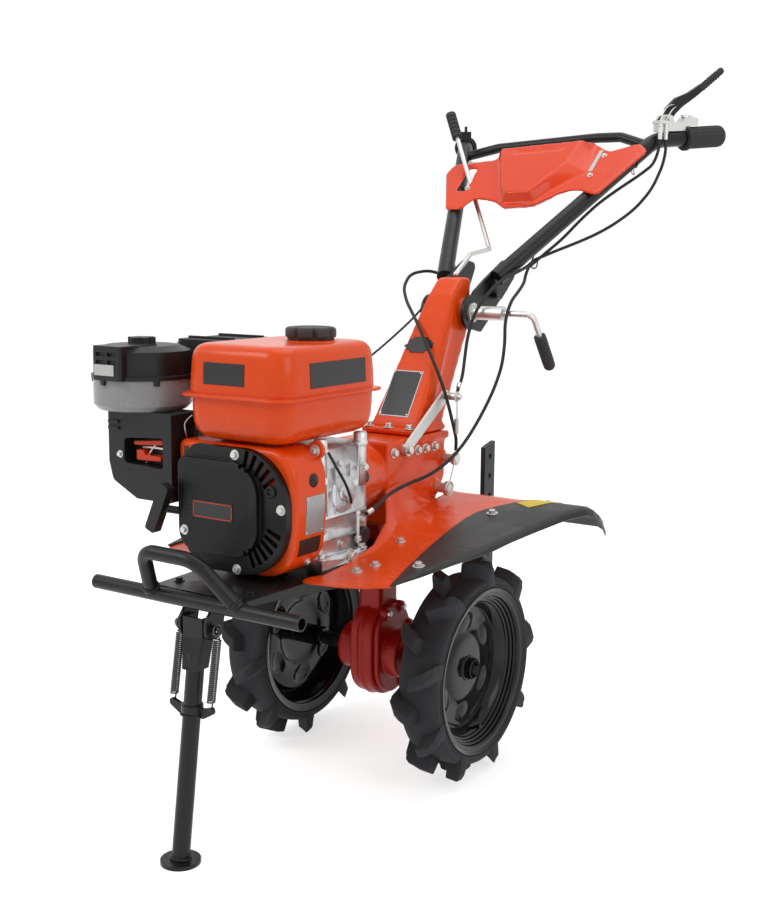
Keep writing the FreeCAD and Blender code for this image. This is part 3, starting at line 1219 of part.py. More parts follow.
def nodes():
    """Every node of the machine by name."""
    tread = tyre()
    wheel = rim()
    shaft = axle_shaft()
    shaft.translate(vec((0, 0, AXLE_Z)))
    bar = handlebar_tube()
    rubber = grip()
    inner_fender = fender_left()
    outer_fender = fender_edge_left()
    return {
        "gearbox_housing": gearbox_housing(), "gearbox_leg": gearbox_leg(), "leg_cover": leg_cover(),
        "hitch_bracket": hitch_bracket(), "drag_bar": drag_bar(), "hitch_pin": hitch_pin(),
        "column": column(), "engine_deck": engine_deck(), "bumper": bumper(),
        "stand_bracket": stand_bracket(), "crankcase": crankcase(),
        "cylinder_block": cylinder_block(), "fan_shroud": fan_shroud(),
        "recoil_starter": recoil_starter(), "recoil_handle": recoil_handle(),
        "fuel_tank": fuel_tank(), "fuel_cap": fuel_cap(), "air_cleaner_bowl": air_cleaner_bowl(),
        "air_cleaner_lid": air_cleaner_lid(), "carburettor_cover": carburettor_cover(),
        "engine_levers": engine_levers(), "muffler": muffler(),
        "fender_left": inner_fender, "fender_right": mirrored(inner_fender),
        "fender_edge_left": outer_fender, "fender_edge_right": mirrored(outer_fender),
        "shift_arm": shift_arm(), "control_shafts": control_shafts(), "gear_rod": gear_rod(),
        "clutch_cable_upper": clutch_cable_upper(), "clutch_cable_lower": clutch_cable_lower(),
        "engine_cable_upper": engine_cable_upper(), "engine_cable_lower": engine_cable_lower(),
        "reverse_cable": reverse_cable(), "throttle_cable": throttle_cable(),
        "axle_shaft": shaft, "tyre_left": placed_wheel(tread, 1), "tyre_right": placed_wheel(tread, -1),
        "rim_left": placed_wheel(wheel, 1), "rim_right": placed_wheel(wheel, -1),
        "stand_leg": stand_leg(), "stand_spring_left": stand_spring(1),
        "stand_spring_right": stand_spring(-1), "handlebar_left": bar,
        "handlebar_right": mirrored(bar), "handle_bracket": handle_bracket(),
        "cross_tube": cross_tube(), "clamp_rod": clamp_rod(), "clamp_sleeve": clamp_sleeve(),
        "clamp_crank": clamp_crank(), "clamp_knob": clamp_knob(), "grip_left": rubber,
        "grip_right": mirrored(rubber), "console_panel": console_panel(),
        "gear_lever": gear_lever(), "gear_knob": gear_knob(), "clutch_bracket": clutch_bracket(),
        "clutch_lever": clutch_lever(), "throttle_lever": throttle_lever(),
    }


def main():
    """Builds every node and writes it with the origin at the machine's middle."""
    os.makedirs("parts", exist_ok=True)
    solids = nodes()
    box = FreeCAD.BoundBox()
    for solid in solids.values():
        box.add(solid.optimalBoundingBox(False, False))
    middle = round((box.YMin + box.YMax) / 2, 1)
    print("box", [round(value, 1) for value in (box.XMin, box.XMax, box.YMin, box.YMax, box.ZMin, box.ZMax)])
    print("axle at y", -middle)
    for name, solid in solids.items():
        if not solid.isValid():
            print("INVALID", name)
        solid.translate(vec((0, -middle, -GROUND_Z)))
        solid.exportStep("parts/" + name + ".step")


main()
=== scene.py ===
"""Looks of a two-wheel walking mini tiller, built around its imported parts.

Lengths are metres in the part's own frame: +Z up, -Y forward, +X the machine's left side.
"""

import logging
import math
from collections.abc import Callable, Sequence
from dataclasses import dataclass, field
from enum import Enum

import bmesh
import bpy
from mathutils import Matrix, Vector
from mathutils.bvhtree import BVHTree


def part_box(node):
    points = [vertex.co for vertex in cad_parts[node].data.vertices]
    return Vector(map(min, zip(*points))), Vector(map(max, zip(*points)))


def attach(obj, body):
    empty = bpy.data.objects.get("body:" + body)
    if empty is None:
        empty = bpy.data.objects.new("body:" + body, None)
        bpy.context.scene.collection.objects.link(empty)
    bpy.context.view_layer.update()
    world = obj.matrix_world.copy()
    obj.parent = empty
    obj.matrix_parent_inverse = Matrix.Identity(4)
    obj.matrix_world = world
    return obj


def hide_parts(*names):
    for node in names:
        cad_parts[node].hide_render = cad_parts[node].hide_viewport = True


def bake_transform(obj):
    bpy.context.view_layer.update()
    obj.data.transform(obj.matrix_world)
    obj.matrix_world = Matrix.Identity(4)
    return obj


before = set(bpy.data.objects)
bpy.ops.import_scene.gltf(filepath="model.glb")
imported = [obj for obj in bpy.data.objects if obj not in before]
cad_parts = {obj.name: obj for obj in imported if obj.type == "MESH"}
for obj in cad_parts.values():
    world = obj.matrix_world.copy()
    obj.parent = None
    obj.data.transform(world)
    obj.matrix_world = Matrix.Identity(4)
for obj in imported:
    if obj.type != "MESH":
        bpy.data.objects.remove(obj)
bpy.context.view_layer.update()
LOG = logging.getLogger("mini_tiller")

Colour = tuple[float, float, float]
Point = tuple[float, float, float]

PER_METRE = 1000        # millimetres
AXLE_Y = sum(corner.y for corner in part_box("axle_shaft")) / 2

# The sides, the directions in which small parts are pressed on, and where the search for a face starts.
SIDES = ((1, "left"), (-1, "right"))
INWARD = (-1, 0, 0)
BACKWARD = (0, 1, 0)
DOWNWARD = (0, 0, -1)
LEFT_SIDE = 200         # x, outside the engine and the gearbox
FRONT_SIDE = -450       # y, in front of the recoil cover
STAND_OFF = 60          # distance from a sloping face
SEAT_DEPTH = 0.2        # how far a seated part goes into its face


def place(x: float, y: float, z: float) -> Vector:
    """A point of the machine, in millimetres from the axle's line on the ground, in the frame."""
    return Vector((x / PER_METRE, y / PER_METRE + AXLE_Y, z / PER_METRE))


# ---- shader maths ---------------------------------------------------------------


class Signal:
    """One socket of a node tree, on which Python's operators add Math nodes."""

    def __init__(self, tree: bpy.types.NodeTree, socket: bpy.types.NodeSocket) -> None:
        self.tree = tree
        self.socket = socket

    def math(self, operation: str, *values: "Signal | float") -> "Signal":
        """Adds one Math node.

        Args:
            operation: The Math node's operation.
            values: The node's operands, in order.

        Returns:
            The node's value.
        """
        node = self.tree.nodes.new("ShaderNodeMath")
        node.operation = operation
        for index, value in enumerate(values):
            if isinstance(value, Signal):
                self.tree.links.new(value.socket, node.inputs[index])
            else:
                node.inputs[index].default_value = value
        return Signal(self.tree, node.outputs[0])

    def __add__(self, other: "Signal | float") -> "Signal":
        """Sum."""
        return self.math("ADD", self, other)

    def __radd__(self, other: float) -> "Signal":
        """Sum with a number first."""
        return self.math("ADD", other, self)

    def __sub__(self, other: "Signal | float") -> "Signal":
        """Difference."""
        return self.math("SUBTRACT", self, other)

    def __rsub__(self, other: float) -> "Signal":
        """Difference from a number."""
        return self.math("SUBTRACT", other, self)

    def __mul__(self, other: "Signal | float") -> "Signal":
        """Product."""
        return self.math("MULTIPLY", self, other)

    def __rmul__(self, other: float) -> "Signal":
        """Product with a number first."""
        return self.math("MULTIPLY", other, self)

    def __truediv__(self, other: "Signal | float") -> "Signal":
        """Quotient."""
        return self.math("DIVIDE", self, other)

    def __pow__(self, other: "Signal | float") -> "Signal":
        """Power."""
        return self.math("POWER", self, other)

    def __gt__(self, other: "Signal | float") -> "Signal":
        """1 where this is the greater, else 0."""
        return self.math("GREATER_THAN", self, other)

    def __lt__(self, other: "Signal | float") -> "Signal":
        """1 where this is the less, else 0."""
        return self.math("LESS_THAN", self, other)


class Shader:
    """A material's node tree with a Principled BSDF, filled in by a finish."""

    def __init__(self, name: str) -> None:
        self.material = bpy.data.materials.new(name)
        self.material.use_nodes = True
        self.tree = self.material.node_tree
        self.surface = self.tree.nodes["Principled BSDF"]
        coordinates = self.tree.nodes.new("ShaderNodeTexCoord")
        self.here = Signal(self.tree, coordinates.outputs["Object"])

    def node(self, kind: str, settings: dict | None = None, output: int | str = 0,
             **inputs: "Signal | float | Sequence[float]") -> Signal:
        """Adds any node.

        Args:
            kind: The node's type, without its ShaderNode prefix.
            settings: The node's own properties, set before its sockets.
            output: The output that is wanted.
            inputs: Values or links by socket name, with _ for a space.

        Returns:
            The wanted output.
        """
        node = self.tree.nodes.new("ShaderNode" + kind)
        for key, value in (settings or {}).items():
            setattr(node, key, value)
        for key, value in inputs.items():
            self.feed(node.inputs[key.replace("_", " ")], value)
        return Signal(self.tree, node.outputs[output])

    def feed(self, socket: bpy.types.NodeSocket, value: "Signal | float | Sequence[float]") -> None:
        """Links a signal to a socket, or sets the socket's own value."""
        if isinstance(value, Signal):
            self.tree.links.new(value.socket, socket)
        elif isinstance(value, (int, float)):
            socket.default_value = value
        else:
            socket.default_value = tuple(value) + (1.0,) * (len(socket.default_value) - len(value))

    def set(self, **inputs: "Signal | float | Sequence[float]") -> None:
        """Feeds the Principled BSDF's sockets by name, with _ for a space."""
        for key, value in inputs.items():
            self.feed(self.surface.inputs[key.replace("_", " ")], value)

    def noise(self, scale: float, detail: float, roughness: float = 0.5) -> Signal:
        """Noise from 0 to 1 at a number of features for each metre."""
        return self.node("TexNoise", Scale=scale, Detail=detail, Roughness=roughness, Vector=self.here)

    def cells(self, scale: float) -> Signal:
        """Distance to the nearest of scattered points."""
        return self.node("TexVoronoi", None, "Distance", Scale=scale, Vector=self.here)

    def smooth(self, value: Signal, low: float, high: float) -> Signal:
        """A soft step from 0 at low to 1 at high."""
        return self.node("MapRange", {"interpolation_type": "SMOOTHSTEP"}, Value=value,
                         From_Min=low, From_Max=high)

    def patches(self, scale: float, detail: float, roughness: float, low: float, high: float) -> Signal:
        """Soft patches where noise passes from low to high."""
        return self.smooth(self.noise(scale, detail, roughness), low, high)

    def mixed(self, factor: "Signal | float", first: "Signal | Colour",
              second: "Signal | Colour") -> Signal:
        """A colour between two others."""
        node = self.tree.nodes.new("ShaderNodeMix")
        node.data_type = "RGBA"
        self.feed(node.inputs[0], factor)
        self.feed(node.inputs[6], first)
        self.feed(node.inputs[7], second)
        return Signal(self.tree, node.outputs[2])

    def bump(self, height: Signal, distance: float, strength: float = 1.0, edge: float = 0.0012) -> None:
        """Feeds the Normal socket.

        Args:
            height: The relief, from 0 to 1.
            distance: The relief's depth, in metres.
            strength: How much of it shows.
            edge: The radius that every edge is broken to, in metres.
        """
        rounded = self.node("Bevel", {"samples": 4}, Radius=edge)
        self.set(Normal=self.node("Bump", Height=height, Distance=distance, Strength=strength,
                                  Normal=rounded))

    def axis(self, name: str) -> Signal:
        """One of the object's own coordinates."""
        return self.node("SeparateXYZ", None, name, Vector=self.here)


# ---- finishes -------------------------------------------------------------------


class Look:
    """What all looks share: one material, made when it is wanted."""

    def dress(self, name: str) -> bpy.types.Material:
        """Makes the material."""
        shader = Shader(name)
        self.paint(shader)
        return shader.material

    def paint(self, shader: Shader) -> None:
        """Feeds the shader with the look's colours and relief."""
        raise NotImplementedError


@dataclass(frozen=True)
class GlossPaint(Look):
    """Baked enamel with a faint orange-peel skin, dust and a tone that drifts a little."""

    colour: Colour
    deep: Colour
    roughness: float = 0.2
    coat: float = 0.06
    dust: float = 0.03
    edge: float = 0.0025

    def paint(self, shader: Shader) -> None:
        """Feeds the shader."""
        drift = shader.noise(7, 3)
        peel = shader.noise(420, 1)
        film = shader.patches(26, 5, 0.65, 0.45, 0.8)
        colour = shader.mixed(drift, self.deep, self.colour)
        shader.set(Base_Color=shader.mixed(film * self.dust, colour, (0.62, 0.42, 0.34)),
                   Roughness=self.roughness + 0.16 * film + 0.06 * drift,
                   Coat_Weight=self.coat, Coat_Roughness=0.06, Specular_IOR_Level=0.24)
        shader.bump(peel, 0.00012, 0.5, self.edge)


@dataclass(frozen=True)
class SatinPaint(Look):
    """Powder coat with a fine grain and scuffs."""

    colour: Colour
    worn: Colour
    roughness: float = 0.42
    grain: float = 900.0

    def paint(self, shader: Shader) -> None:
        """Feeds the shader."""
        grain = shader.noise(self.grain, 2)
        patch = shader.patches(32, 5, 0.6, 0.4, 0.75)
        scuff = shader.patches(150, 6, 0.75, 0.62, 0.76) * patch
        shader.set(Base_Color=shader.mixed(scuff * 0.5 + patch * 0.14, self.colour, self.worn),
                   Roughness=self.roughness + 0.14 * patch - 0.05 * grain,
                   Specular_IOR_Level=0.28)
        shader.bump(grain, 0.00012, 0.6)


@dataclass(frozen=True)
class MouldedPlastic(Look):
    """Moulded plastic with a spark-eroded grain."""

    colour: Colour
    worn: Colour
    roughness: float = 0.42
    grain: float = 1400.0
    depth: float = 0.00016
    edge: float = 0.0018

    def paint(self, shader: Shader) -> None:
        """Feeds the shader."""
        grain = shader.cells(self.grain)
        film = shader.patches(22, 5, 0.6, 0.42, 0.8)
        shader.set(Base_Color=shader.mixed(film * 0.35, self.colour, self.worn),
                   Roughness=self.roughness + 0.12 * film, Specular_IOR_Level=0.3)
        shader.bump(grain, self.depth, 0.6, self.edge)


@dataclass(frozen=True)
class MouldedRubber(Look):
    """Rubber with a dull bloom and dust in patches."""

    colour: Colour
    bloom: Colour
    roughness: float = 0.62

    def paint(self, shader: Shader) -> None:
        """Feeds the shader."""
        bloom = shader.patches(14, 6, 0.62, 0.36, 0.78)
        speck = shader.patches(260, 4, 0.7, 0.6, 0.75)
        skin = shader.noise(520, 3)
        shader.set(Base_Color=shader.mixed(bloom * 0.5 + speck * 0.18, self.colour, self.bloom),
                   Roughness=self.roughness + 0.16 * bloom - 0.06 * skin, Specular_IOR_Level=0.34)
        shader.bump(skin, 0.0003, 0.5)


@dataclass(frozen=True)
class CastAluminium(Look):
    """Die casting with a fine sandy skin and darker stains."""

    colour: Colour = (0.5, 0.5, 0.51)
    stain: Colour = (0.26, 0.26, 0.27)
    roughness: float = 0.42

    def paint(self, shader: Shader) -> None:
        """Feeds the shader."""
        sand = shader.noise(700, 3, 0.6)
        stain = shader.patches(38, 6, 0.7, 0.45, 0.78)
        shader.set(Base_Color=shader.mixed(stain * 0.7, self.colour, self.stain),
                   Metallic=0.85, Roughness=self.roughness + 0.18 * stain - 0.08 * sand)
        shader.bump(sand, 0.0005, 0.5)


@dataclass(frozen=True)
class ZincSteel(Look):
    """Zinc-plated steel, a little clouded."""

    colour: Colour = (0.62, 0.62, 0.61)
    cloud: Colour = (0.42, 0.42, 0.42)
    roughness: float = 0.26

    def paint(self, shader: Shader) -> None:
        """Feeds the shader."""
        cloud = shader.patches(60, 5, 0.6, 0.35, 0.75)
        scratch = shader.noise(900, 2, 0.7)
        shader.set(Base_Color=shader.mixed(cloud, self.colour, self.cloud), Metallic=1.0,
                   Roughness=self.roughness + 0.16 * cloud + 0.08 * scratch)
        shader.bump(scratch, 0.00008, 0.4)


@dataclass(frozen=True)
class StarterMoulding(Look):
    """Glossy black moulding whose raised block carries rows of fine round pits, painted darker inside as
    painted shade.
    """

    colour: Colour = (0.0045, 0.0045, 0.0048)
    pit: float = 0.004

    def paint(self, shader: Shader) -> None:
        """Feeds the shader."""
        low, high = (corner * PER_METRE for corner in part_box("recoil_starter"))
        across, level, depth = (shader.axis(axis) for axis in "XZY")
        column = across / self.pit
        row = level / self.pit
        near = (column - column.math("FLOOR", column) - 0.5) ** 2 + (row - row.math("FLOOR", row) - 0.5) ** 2
        block = (across < (low.x + 142) / PER_METRE) * (across > (low.x + 14) / PER_METRE)
        block = block * (level > (low.z + 34) / PER_METRE) * (level < (high.z - 30) / PER_METRE)
        pits = (1 - shader.smooth(near, 0.05, 0.1)) * block * (depth < (low.y + 1.5) / PER_METRE)
        film = shader.patches(24, 5, 0.6, 0.42, 0.8)
        # The pits' near-black colour is painted shade inside them; their higher roughness and the bump are
        # relief.
        shader.set(Base_Color=shader.mixed(pits, shader.mixed(film * 0.3, self.colour, (0.014, 0.014, 0.014)),
                                           (0.001, 0.001, 0.001)),
                   Roughness=0.3 + 0.1 * film + 0.3 * pits, Specular_IOR_Level=0.26)
        shader.bump(1 - pits, 0.0006, 0.6, 0.003)


@dataclass(frozen=True)
class PrintedPlate(Look):
    """Smooth printed foil or plate with a faint brushing."""

    colour: Colour
    metallic: float = 0.0
    roughness: float = 0.3

    def paint(self, shader: Shader) -> None:
        """Feeds the shader."""
        haze = shader.noise(90, 4, 0.6)
        shade = tuple(part * 0.8 for part in self.colour)
        shader.set(Base_Color=shader.mixed(haze, shade, self.colour), Metallic=self.metallic,
                   Roughness=self.roughness + 0.1 * haze)
        shader.bump(shader.noise(700, 1), 0.00005, 0.4, 0.0004)


class Finish(Enum):
    """The finishes of the machine: how each is made, and the record's slot that it belongs to."""

    ORANGE_ENAMEL = (GlossPaint((0.84, 0.078, 0.004), (0.76, 0.062, 0.003)), "orange_paint")
    # The same orange enamel darkened as painted shade, for the leg and its cover, which lie in shade below the
    # gearbox.
    ORANGE_ENAMEL_PAINTED_SHADE = (GlossPaint((0.5, 0.013, 0.006), (0.38, 0.009, 0.004), 0.3, 0.06), "dark_orange_paint")
    ORANGE_MOULDING = (GlossPaint((0.8, 0.056, 0.004), (0.72, 0.044, 0.003), 0.16, 0.12, 0.01),
                       "orange_plastic")
    BLACK_ENAMEL = (SatinPaint((0.0065, 0.007, 0.007), (0.04, 0.042, 0.042), 0.34), "black_paint")
    RIM_ENAMEL = (SatinPaint((0.006, 0.006, 0.0065), (0.03, 0.03, 0.03), 0.16, 300.0), "rim_paint")
    SILENCER_PAINT = (SatinPaint((0.012, 0.012, 0.012), (0.05, 0.045, 0.04), 0.5), "silencer_steel")
    WELD_SEAM = (SatinPaint((0.009, 0.01, 0.01), (0.05, 0.05, 0.05), 0.4, 260.0), "black_paint")
    BLACK_MOULDING = (MouldedPlastic((0.008, 0.008, 0.0085), (0.03, 0.031, 0.031), 0.36), "black_plastic")
    STARTER_MOULDING = (StarterMoulding(), "black_plastic")
    GREY_MOULDING = (MouldedPlastic((0.04, 0.034, 0.032), (0.07, 0.065, 0.063), 0.5), "cap_plastic")
    SMOKED_BOWL = (MouldedPlastic((0.3, 0.3, 0.305), (0.42, 0.42, 0.43), 0.24, 500.0, 0.0001),
                   "bowl_plastic")
    TYRE_RUBBER = (MouldedRubber((0.008, 0.009, 0.009), (0.05, 0.052, 0.05), 0.4), "tyre_rubber")
    GRIP_RUBBER = (MouldedRubber((0.011, 0.011, 0.011), (0.035, 0.036, 0.036), 0.46), "grip_rubber")
    CAST_ALUMINIUM = (CastAluminium((0.6, 0.6, 0.61), (0.2, 0.2, 0.205), 0.34), "aluminium")
    ZINC_STEEL = (ZincSteel((0.44, 0.44, 0.43), (0.25, 0.25, 0.25)), "zinc_steel")
    SPRING_STEEL = (SatinPaint((0.02, 0.02, 0.02), (0.09, 0.09, 0.09), 0.3), "spring_steel")
    CABLE_SHEATH = (MouldedPlastic((0.008, 0.008, 0.008), (0.03, 0.03, 0.03), 0.36, 700.0, 0.0001),
                    "cable_sheath")
    DARK_PLATE = (PrintedPlate((0.006, 0.006, 0.006)), "black_plastic")
    SILVER_PLATE = (PrintedPlate((0.42, 0.42, 0.42), 0.85, 0.34), "aluminium")
    PALE_LABEL = (PrintedPlate((0.62, 0.62, 0.6), 0.0, 0.4), "bowl_plastic")
    YELLOW_LABEL = (PrintedPlate((0.82, 0.6, 0.01), 0.0, 0.4), "orange_plastic")

    @property
    def material(self) -> bpy.types.Material:
        """The finish's one material, made when it is first wanted."""
        name = self.name.lower()
        return bpy.data.materials.get(name) or self.value[0].dress(name)

    @property
    def slot(self) -> str:
        """The record's material slot."""
        return self.value[1]


NODE_FINISH = {
    Finish.ORANGE_ENAMEL: ("column", "gearbox_housing", "fan_shroud", "fuel_tank", "fender_left",
                           "fender_right"),
    # The leg and its cover wear the orange enamel darkened as painted shade.
    Finish.ORANGE_ENAMEL_PAINTED_SHADE: ("gearbox_leg", "leg_cover"),
    Finish.ORANGE_MOULDING: ("console_panel", "engine_levers"),
    Finish.BLACK_ENAMEL: ("hitch_bracket", "drag_bar", "engine_deck", "bumper", "stand_bracket",
                          "axle_shaft", "stand_leg", "handlebar_left", "handlebar_right",
                          "handle_bracket", "cross_tube", "clutch_lever", "throttle_lever"),
    Finish.SILENCER_PAINT: ("muffler",),
    Finish.RIM_ENAMEL: ("rim_left", "rim_right"),
    Finish.STARTER_MOULDING: ("recoil_starter",),
    Finish.BLACK_MOULDING: ("recoil_handle", "air_cleaner_lid", "carburettor_cover",
                            "fender_edge_left", "fender_edge_right"),
    Finish.GREY_MOULDING: ("fuel_cap",),
    Finish.SMOKED_BOWL: ("air_cleaner_bowl",),
    Finish.TYRE_RUBBER: ("tyre_left", "tyre_right"),
    Finish.GRIP_RUBBER: ("clamp_knob", "grip_left", "grip_right", "gear_knob"),
    Finish.CAST_ALUMINIUM: ("crankcase", "cylinder_block"),
    Finish.ZINC_STEEL: ("hitch_pin", "shift_arm", "control_shafts", "gear_rod", "clamp_rod",
                        "clamp_sleeve", "clamp_crank", "gear_lever", "clutch_bracket"),
    Finish.SPRING_STEEL: ("stand_spring_left", "stand_spring_right"),
    Finish.CABLE_SHEATH: ("clutch_cable_lower", "engine_cable_lower", "reverse_cable",
                          "throttle_cable", "clutch_cable_upper", "engine_cable_upper"),
}


# ---- meshes ---------------------------------------------------------------------


def shown(name: str, data: bpy.types.ID) -> bpy.types.Object:
    """Adds an object with its data to the scene."""
    thing = bpy.data.objects.new(name, data)
    bpy.context.scene.collection.objects.link(thing)
    return thing


def recast(piece: bpy.types.Object, voxel: float, relax: int) -> bpy.types.Mesh:
    """Casts an object's mesh again in voxels and smooths it.

    Args:
        piece: The object, whose old mesh is removed.
        voxel: Size of the voxels, in millimetres.
        relax: How often the cast form is smoothed.

    Returns:
        The new mesh.
    """
    old = piece.data
    cast = piece.modifiers.new("cast", "REMESH")
    cast.mode = "VOXEL"
    cast.voxel_size = voxel / PER_METRE
    soft = piece.modifiers.new("soft", "SMOOTH")
    soft.factor = 0.5
    soft.iterations = relax
    depsgraph = bpy.context.evaluated_depsgraph_get()
    piece.data = bpy.data.meshes.new_from_object(piece.evaluated_get(depsgraph))
    piece.modifiers.clear()
    bpy.data.meshes.remove(old)
    piece.data.name = piece.name
    return piece.data


class Body(Enum):
    """The machine's bodies."""

    FRAME = "frame"
    WHEELS = "axle_and_wheels"
    STAND = "front_stand"
    HANDLEBAR = "handlebar"


class Blank:
    """A shape in the making, in the machine's millimetres, shaped with mesh operators."""

    def __init__(self) -> None:
        self.mesh = bmesh.new()

    @classmethod
    def turned(cls, profile: Sequence[tuple[float, float]], steps: int = 48) -> "Blank":
        """Revolves a line of (radius, height) about +Z.

        Args:
            profile: Points from the foot's axis, round the outside, to the head's axis, or a
                loop that ends where it starts.
            steps: Faces around the axis.

        Returns:
            The turned shape.
        """
        blank = cls()
        line = [blank.mesh.verts.new((radius, 0, height)) for radius, height in profile]
        edges = [blank.mesh.edges.new(pair) for pair in zip(line, line[1:])]
        bmesh.ops.spin(blank.mesh, geom=line + edges, cent=(0, 0, 0), axis=(0, 0, 1), dvec=(0, 0, 0),
                       angle=math.tau, steps=steps, use_merge=True, use_duplicate=False)
        return blank.mended()

    @classmethod
    def cylinder(cls, radius: float, height: float, steps: int = 32, top: float | None = None) -> "Blank":
        """A straight or tapered cylinder that stands on the origin along +Z."""
        blank = cls()
        bmesh.ops.create_cone(blank.mesh, cap_ends=True, segments=steps, radius1=radius,
                              radius2=radius if top is None else top, depth=height)
        return blank.moved((0, 0, height / 2))

    @classmethod
    def block(cls, size: Point, centre: Point = (0, 0, 0)) -> "Blank":
        """A rectangular block about its centre."""
        blank = cls()
        bmesh.ops.create_cube(blank.mesh, size=1)
        bmesh.ops.scale(blank.mesh, vec=size, verts=blank.mesh.verts)
        return blank.moved(centre)

    @classmethod
    def stacked(cls, sections: Sequence[Sequence[Point]]) -> "Blank":
        """Bridges level outlines of equal counts, from the lowest up, and closes both ends."""
        blank = cls()
        rings = []
        for section in sections:
            ring = [blank.mesh.verts.new(point) for point in section]
            rings.append([blank.mesh.edges.new(pair) for pair in zip(ring, ring[1:] + ring[:1])])
            if section in (sections[0], sections[-1]):
                blank.mesh.faces.new(ring)
        for low, high in zip(rings, rings[1:]):
            bmesh.ops.bridge_loops(blank.mesh, edges=low + high)
        return blank.mended()

    @classmethod
    def ring(cls, radius: float, thick: float, steps: int = 32, sides: int = 10) -> "Blank":
        """A round bar bent into a closed ring about +Z."""
        circle = [(radius + thick * math.cos(math.tau * k / sides), thick * math.sin(math.tau * k / sides))
                  for k in range(sides)]
        return cls.turned(circle + circle[:1], steps)

    @classmethod
    def wound(cls, radius: float, wire: float, turns: int, length: float) -> "Blank":
        """A coil of round wire that rises from the origin about +Z."""
        blank = cls()
        steps = 12 * turns
        bmesh.ops.create_circle(blank.mesh, cap_ends=True, segments=6, radius=wire)
        blank.turned_by(90, "X").moved((radius, 0, 0))
        bmesh.ops.spin(blank.mesh, geom=list(blank.mesh.faces) + list(blank.mesh.edges), cent=(0, 0, 0),
                       axis=(0, 0, 1), dvec=(0, 0, length / steps), angle=math.tau * turns, steps=steps,
                       use_duplicate=False)
        return blank.mended()

    @classmethod
    def along(cls, route: Sequence[Sequence[float]], radius: float, smooth: bool = True,
              steps: int = 6) -> "Blank":
        """A round bar along a route of points.

        Args:
            route: The points that the bar's middle follows.
            radius: The bar's radius.
            smooth: Whether the route bends smoothly or turns at its points.
            steps: Faces along each run.

        Returns:
            The bar, closed at both ends.
        """
        curve = bpy.data.curves.new("route", "CURVE")
        curve.dimensions = "3D"
        curve.bevel_depth = radius
        curve.bevel_resolution = 3
        curve.use_fill_caps = True
        spline = curve.splines.new("NURBS" if smooth else "POLY")
        spline.points.add(len(route) - 1)
        for point, where in zip(spline.points, route):
            point.co = (*where, 1)
        spline.order_u = 3
        spline.use_endpoint_u = True
        spline.resolution_u = steps
        holder = bpy.data.objects.new("route", curve)
        blank = cls()
        mesh = bpy.data.meshes.new_from_object(holder)
        blank.mesh.from_mesh(mesh)
        bpy.data.objects.remove(holder)
        bpy.data.curves.remove(curve)
        bpy.data.meshes.remove(mesh)
        return blank.mended()

    @classmethod
    def hexagon(cls, across: float, height: float, washer: float = 0.0) -> "Blank":
        """A bolt head on the origin, chamfered, with a washer under it if one is wanted."""
        blank = cls.cylinder(across / math.sqrt(3), height, 6).bevelled(0.06 * across, 1)
        if washer:
            blank.moved((0, 0, 1.5)).joined(cls.cylinder(washer, 1.5, 24).bevelled(0.4, 1))
        return blank

    @classmethod
    def from_node(cls, name: str) -> "Blank":
        """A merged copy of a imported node."""
        blank = cls()
        blank.mesh.from_mesh(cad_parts[name].data)
        bmesh.ops.remove_doubles(blank.mesh, verts=blank.mesh.verts, dist=1e-6)
        bmesh.ops.translate(blank.mesh, vec=(0, -AXLE_Y, 0), verts=blank.mesh.verts)
        bmesh.ops.scale(blank.mesh, vec=(PER_METRE,) * 3, verts=blank.mesh.verts)
        return blank

    def moved(self, offset: Sequence[float]) -> "Blank":
        """Shifts the shape."""
        bmesh.ops.translate(self.mesh, vec=Vector(offset), verts=self.mesh.verts)
        return self

    def turned_by(self, degrees: float, axis: str) -> "Blank":
        """Turns the shape about an axis through the origin."""
        bmesh.ops.rotate(self.mesh, cent=(0, 0, 0), verts=self.mesh.verts,
                         matrix=Matrix.Rotation(math.radians(degrees), 3, axis))
        return self

    def facing(self, direction: Sequence[float]) -> "Blank":
        """Turns the shape's +Z to a direction."""
        turn = Vector(direction).to_track_quat("Z", "Y").to_matrix()
        bmesh.ops.rotate(self.mesh, cent=(0, 0, 0), verts=self.mesh.verts, matrix=turn)
        return self

    def shaped(self, rule: Callable[[Vector], Sequence[float]]) -> "Blank":
        """Moves every point to where a rule puts it."""
        for vertex in self.mesh.verts:
            vertex.co = rule(vertex.co)
        return self

    def divided(self, cuts: int, along: Sequence[float] | None = None) -> "Blank":
        """Divides all edges, or those that run along a direction."""
        edges = [edge for edge in self.mesh.edges if along is None or
                 abs((edge.verts[1].co - edge.verts[0].co).normalized().dot(Vector(along))) > 0.99]
        bmesh.ops.subdivide_edges(self.mesh, edges=edges, cuts=cuts, use_grid_fill=True)
        return self

    def bevelled(self, width: float, segments: int = 2, sharp: float = 30) -> "Blank":
        """Rounds the edges that turn by more than some degrees."""
        edges = [edge for edge in self.mesh.edges
                 if edge.is_manifold and edge.calc_face_angle() > math.radians(sharp)]
        bmesh.ops.bevel(self.mesh, geom=edges, offset=width, offset_type="OFFSET", affect="EDGES",
                        segments=segments, profile=0.5, material=-1, clamp_overlap=True)
        return self

    def joined(self, *others: "Blank") -> "Blank":
        """Adds other shapes to this one and uses them up."""
        for other in others:
            mesh = bpy.data.meshes.new("part")
            other.mesh.to_mesh(mesh)
            self.mesh.from_mesh(mesh)
            bpy.data.meshes.remove(mesh)
            other.mesh.free()
        return self

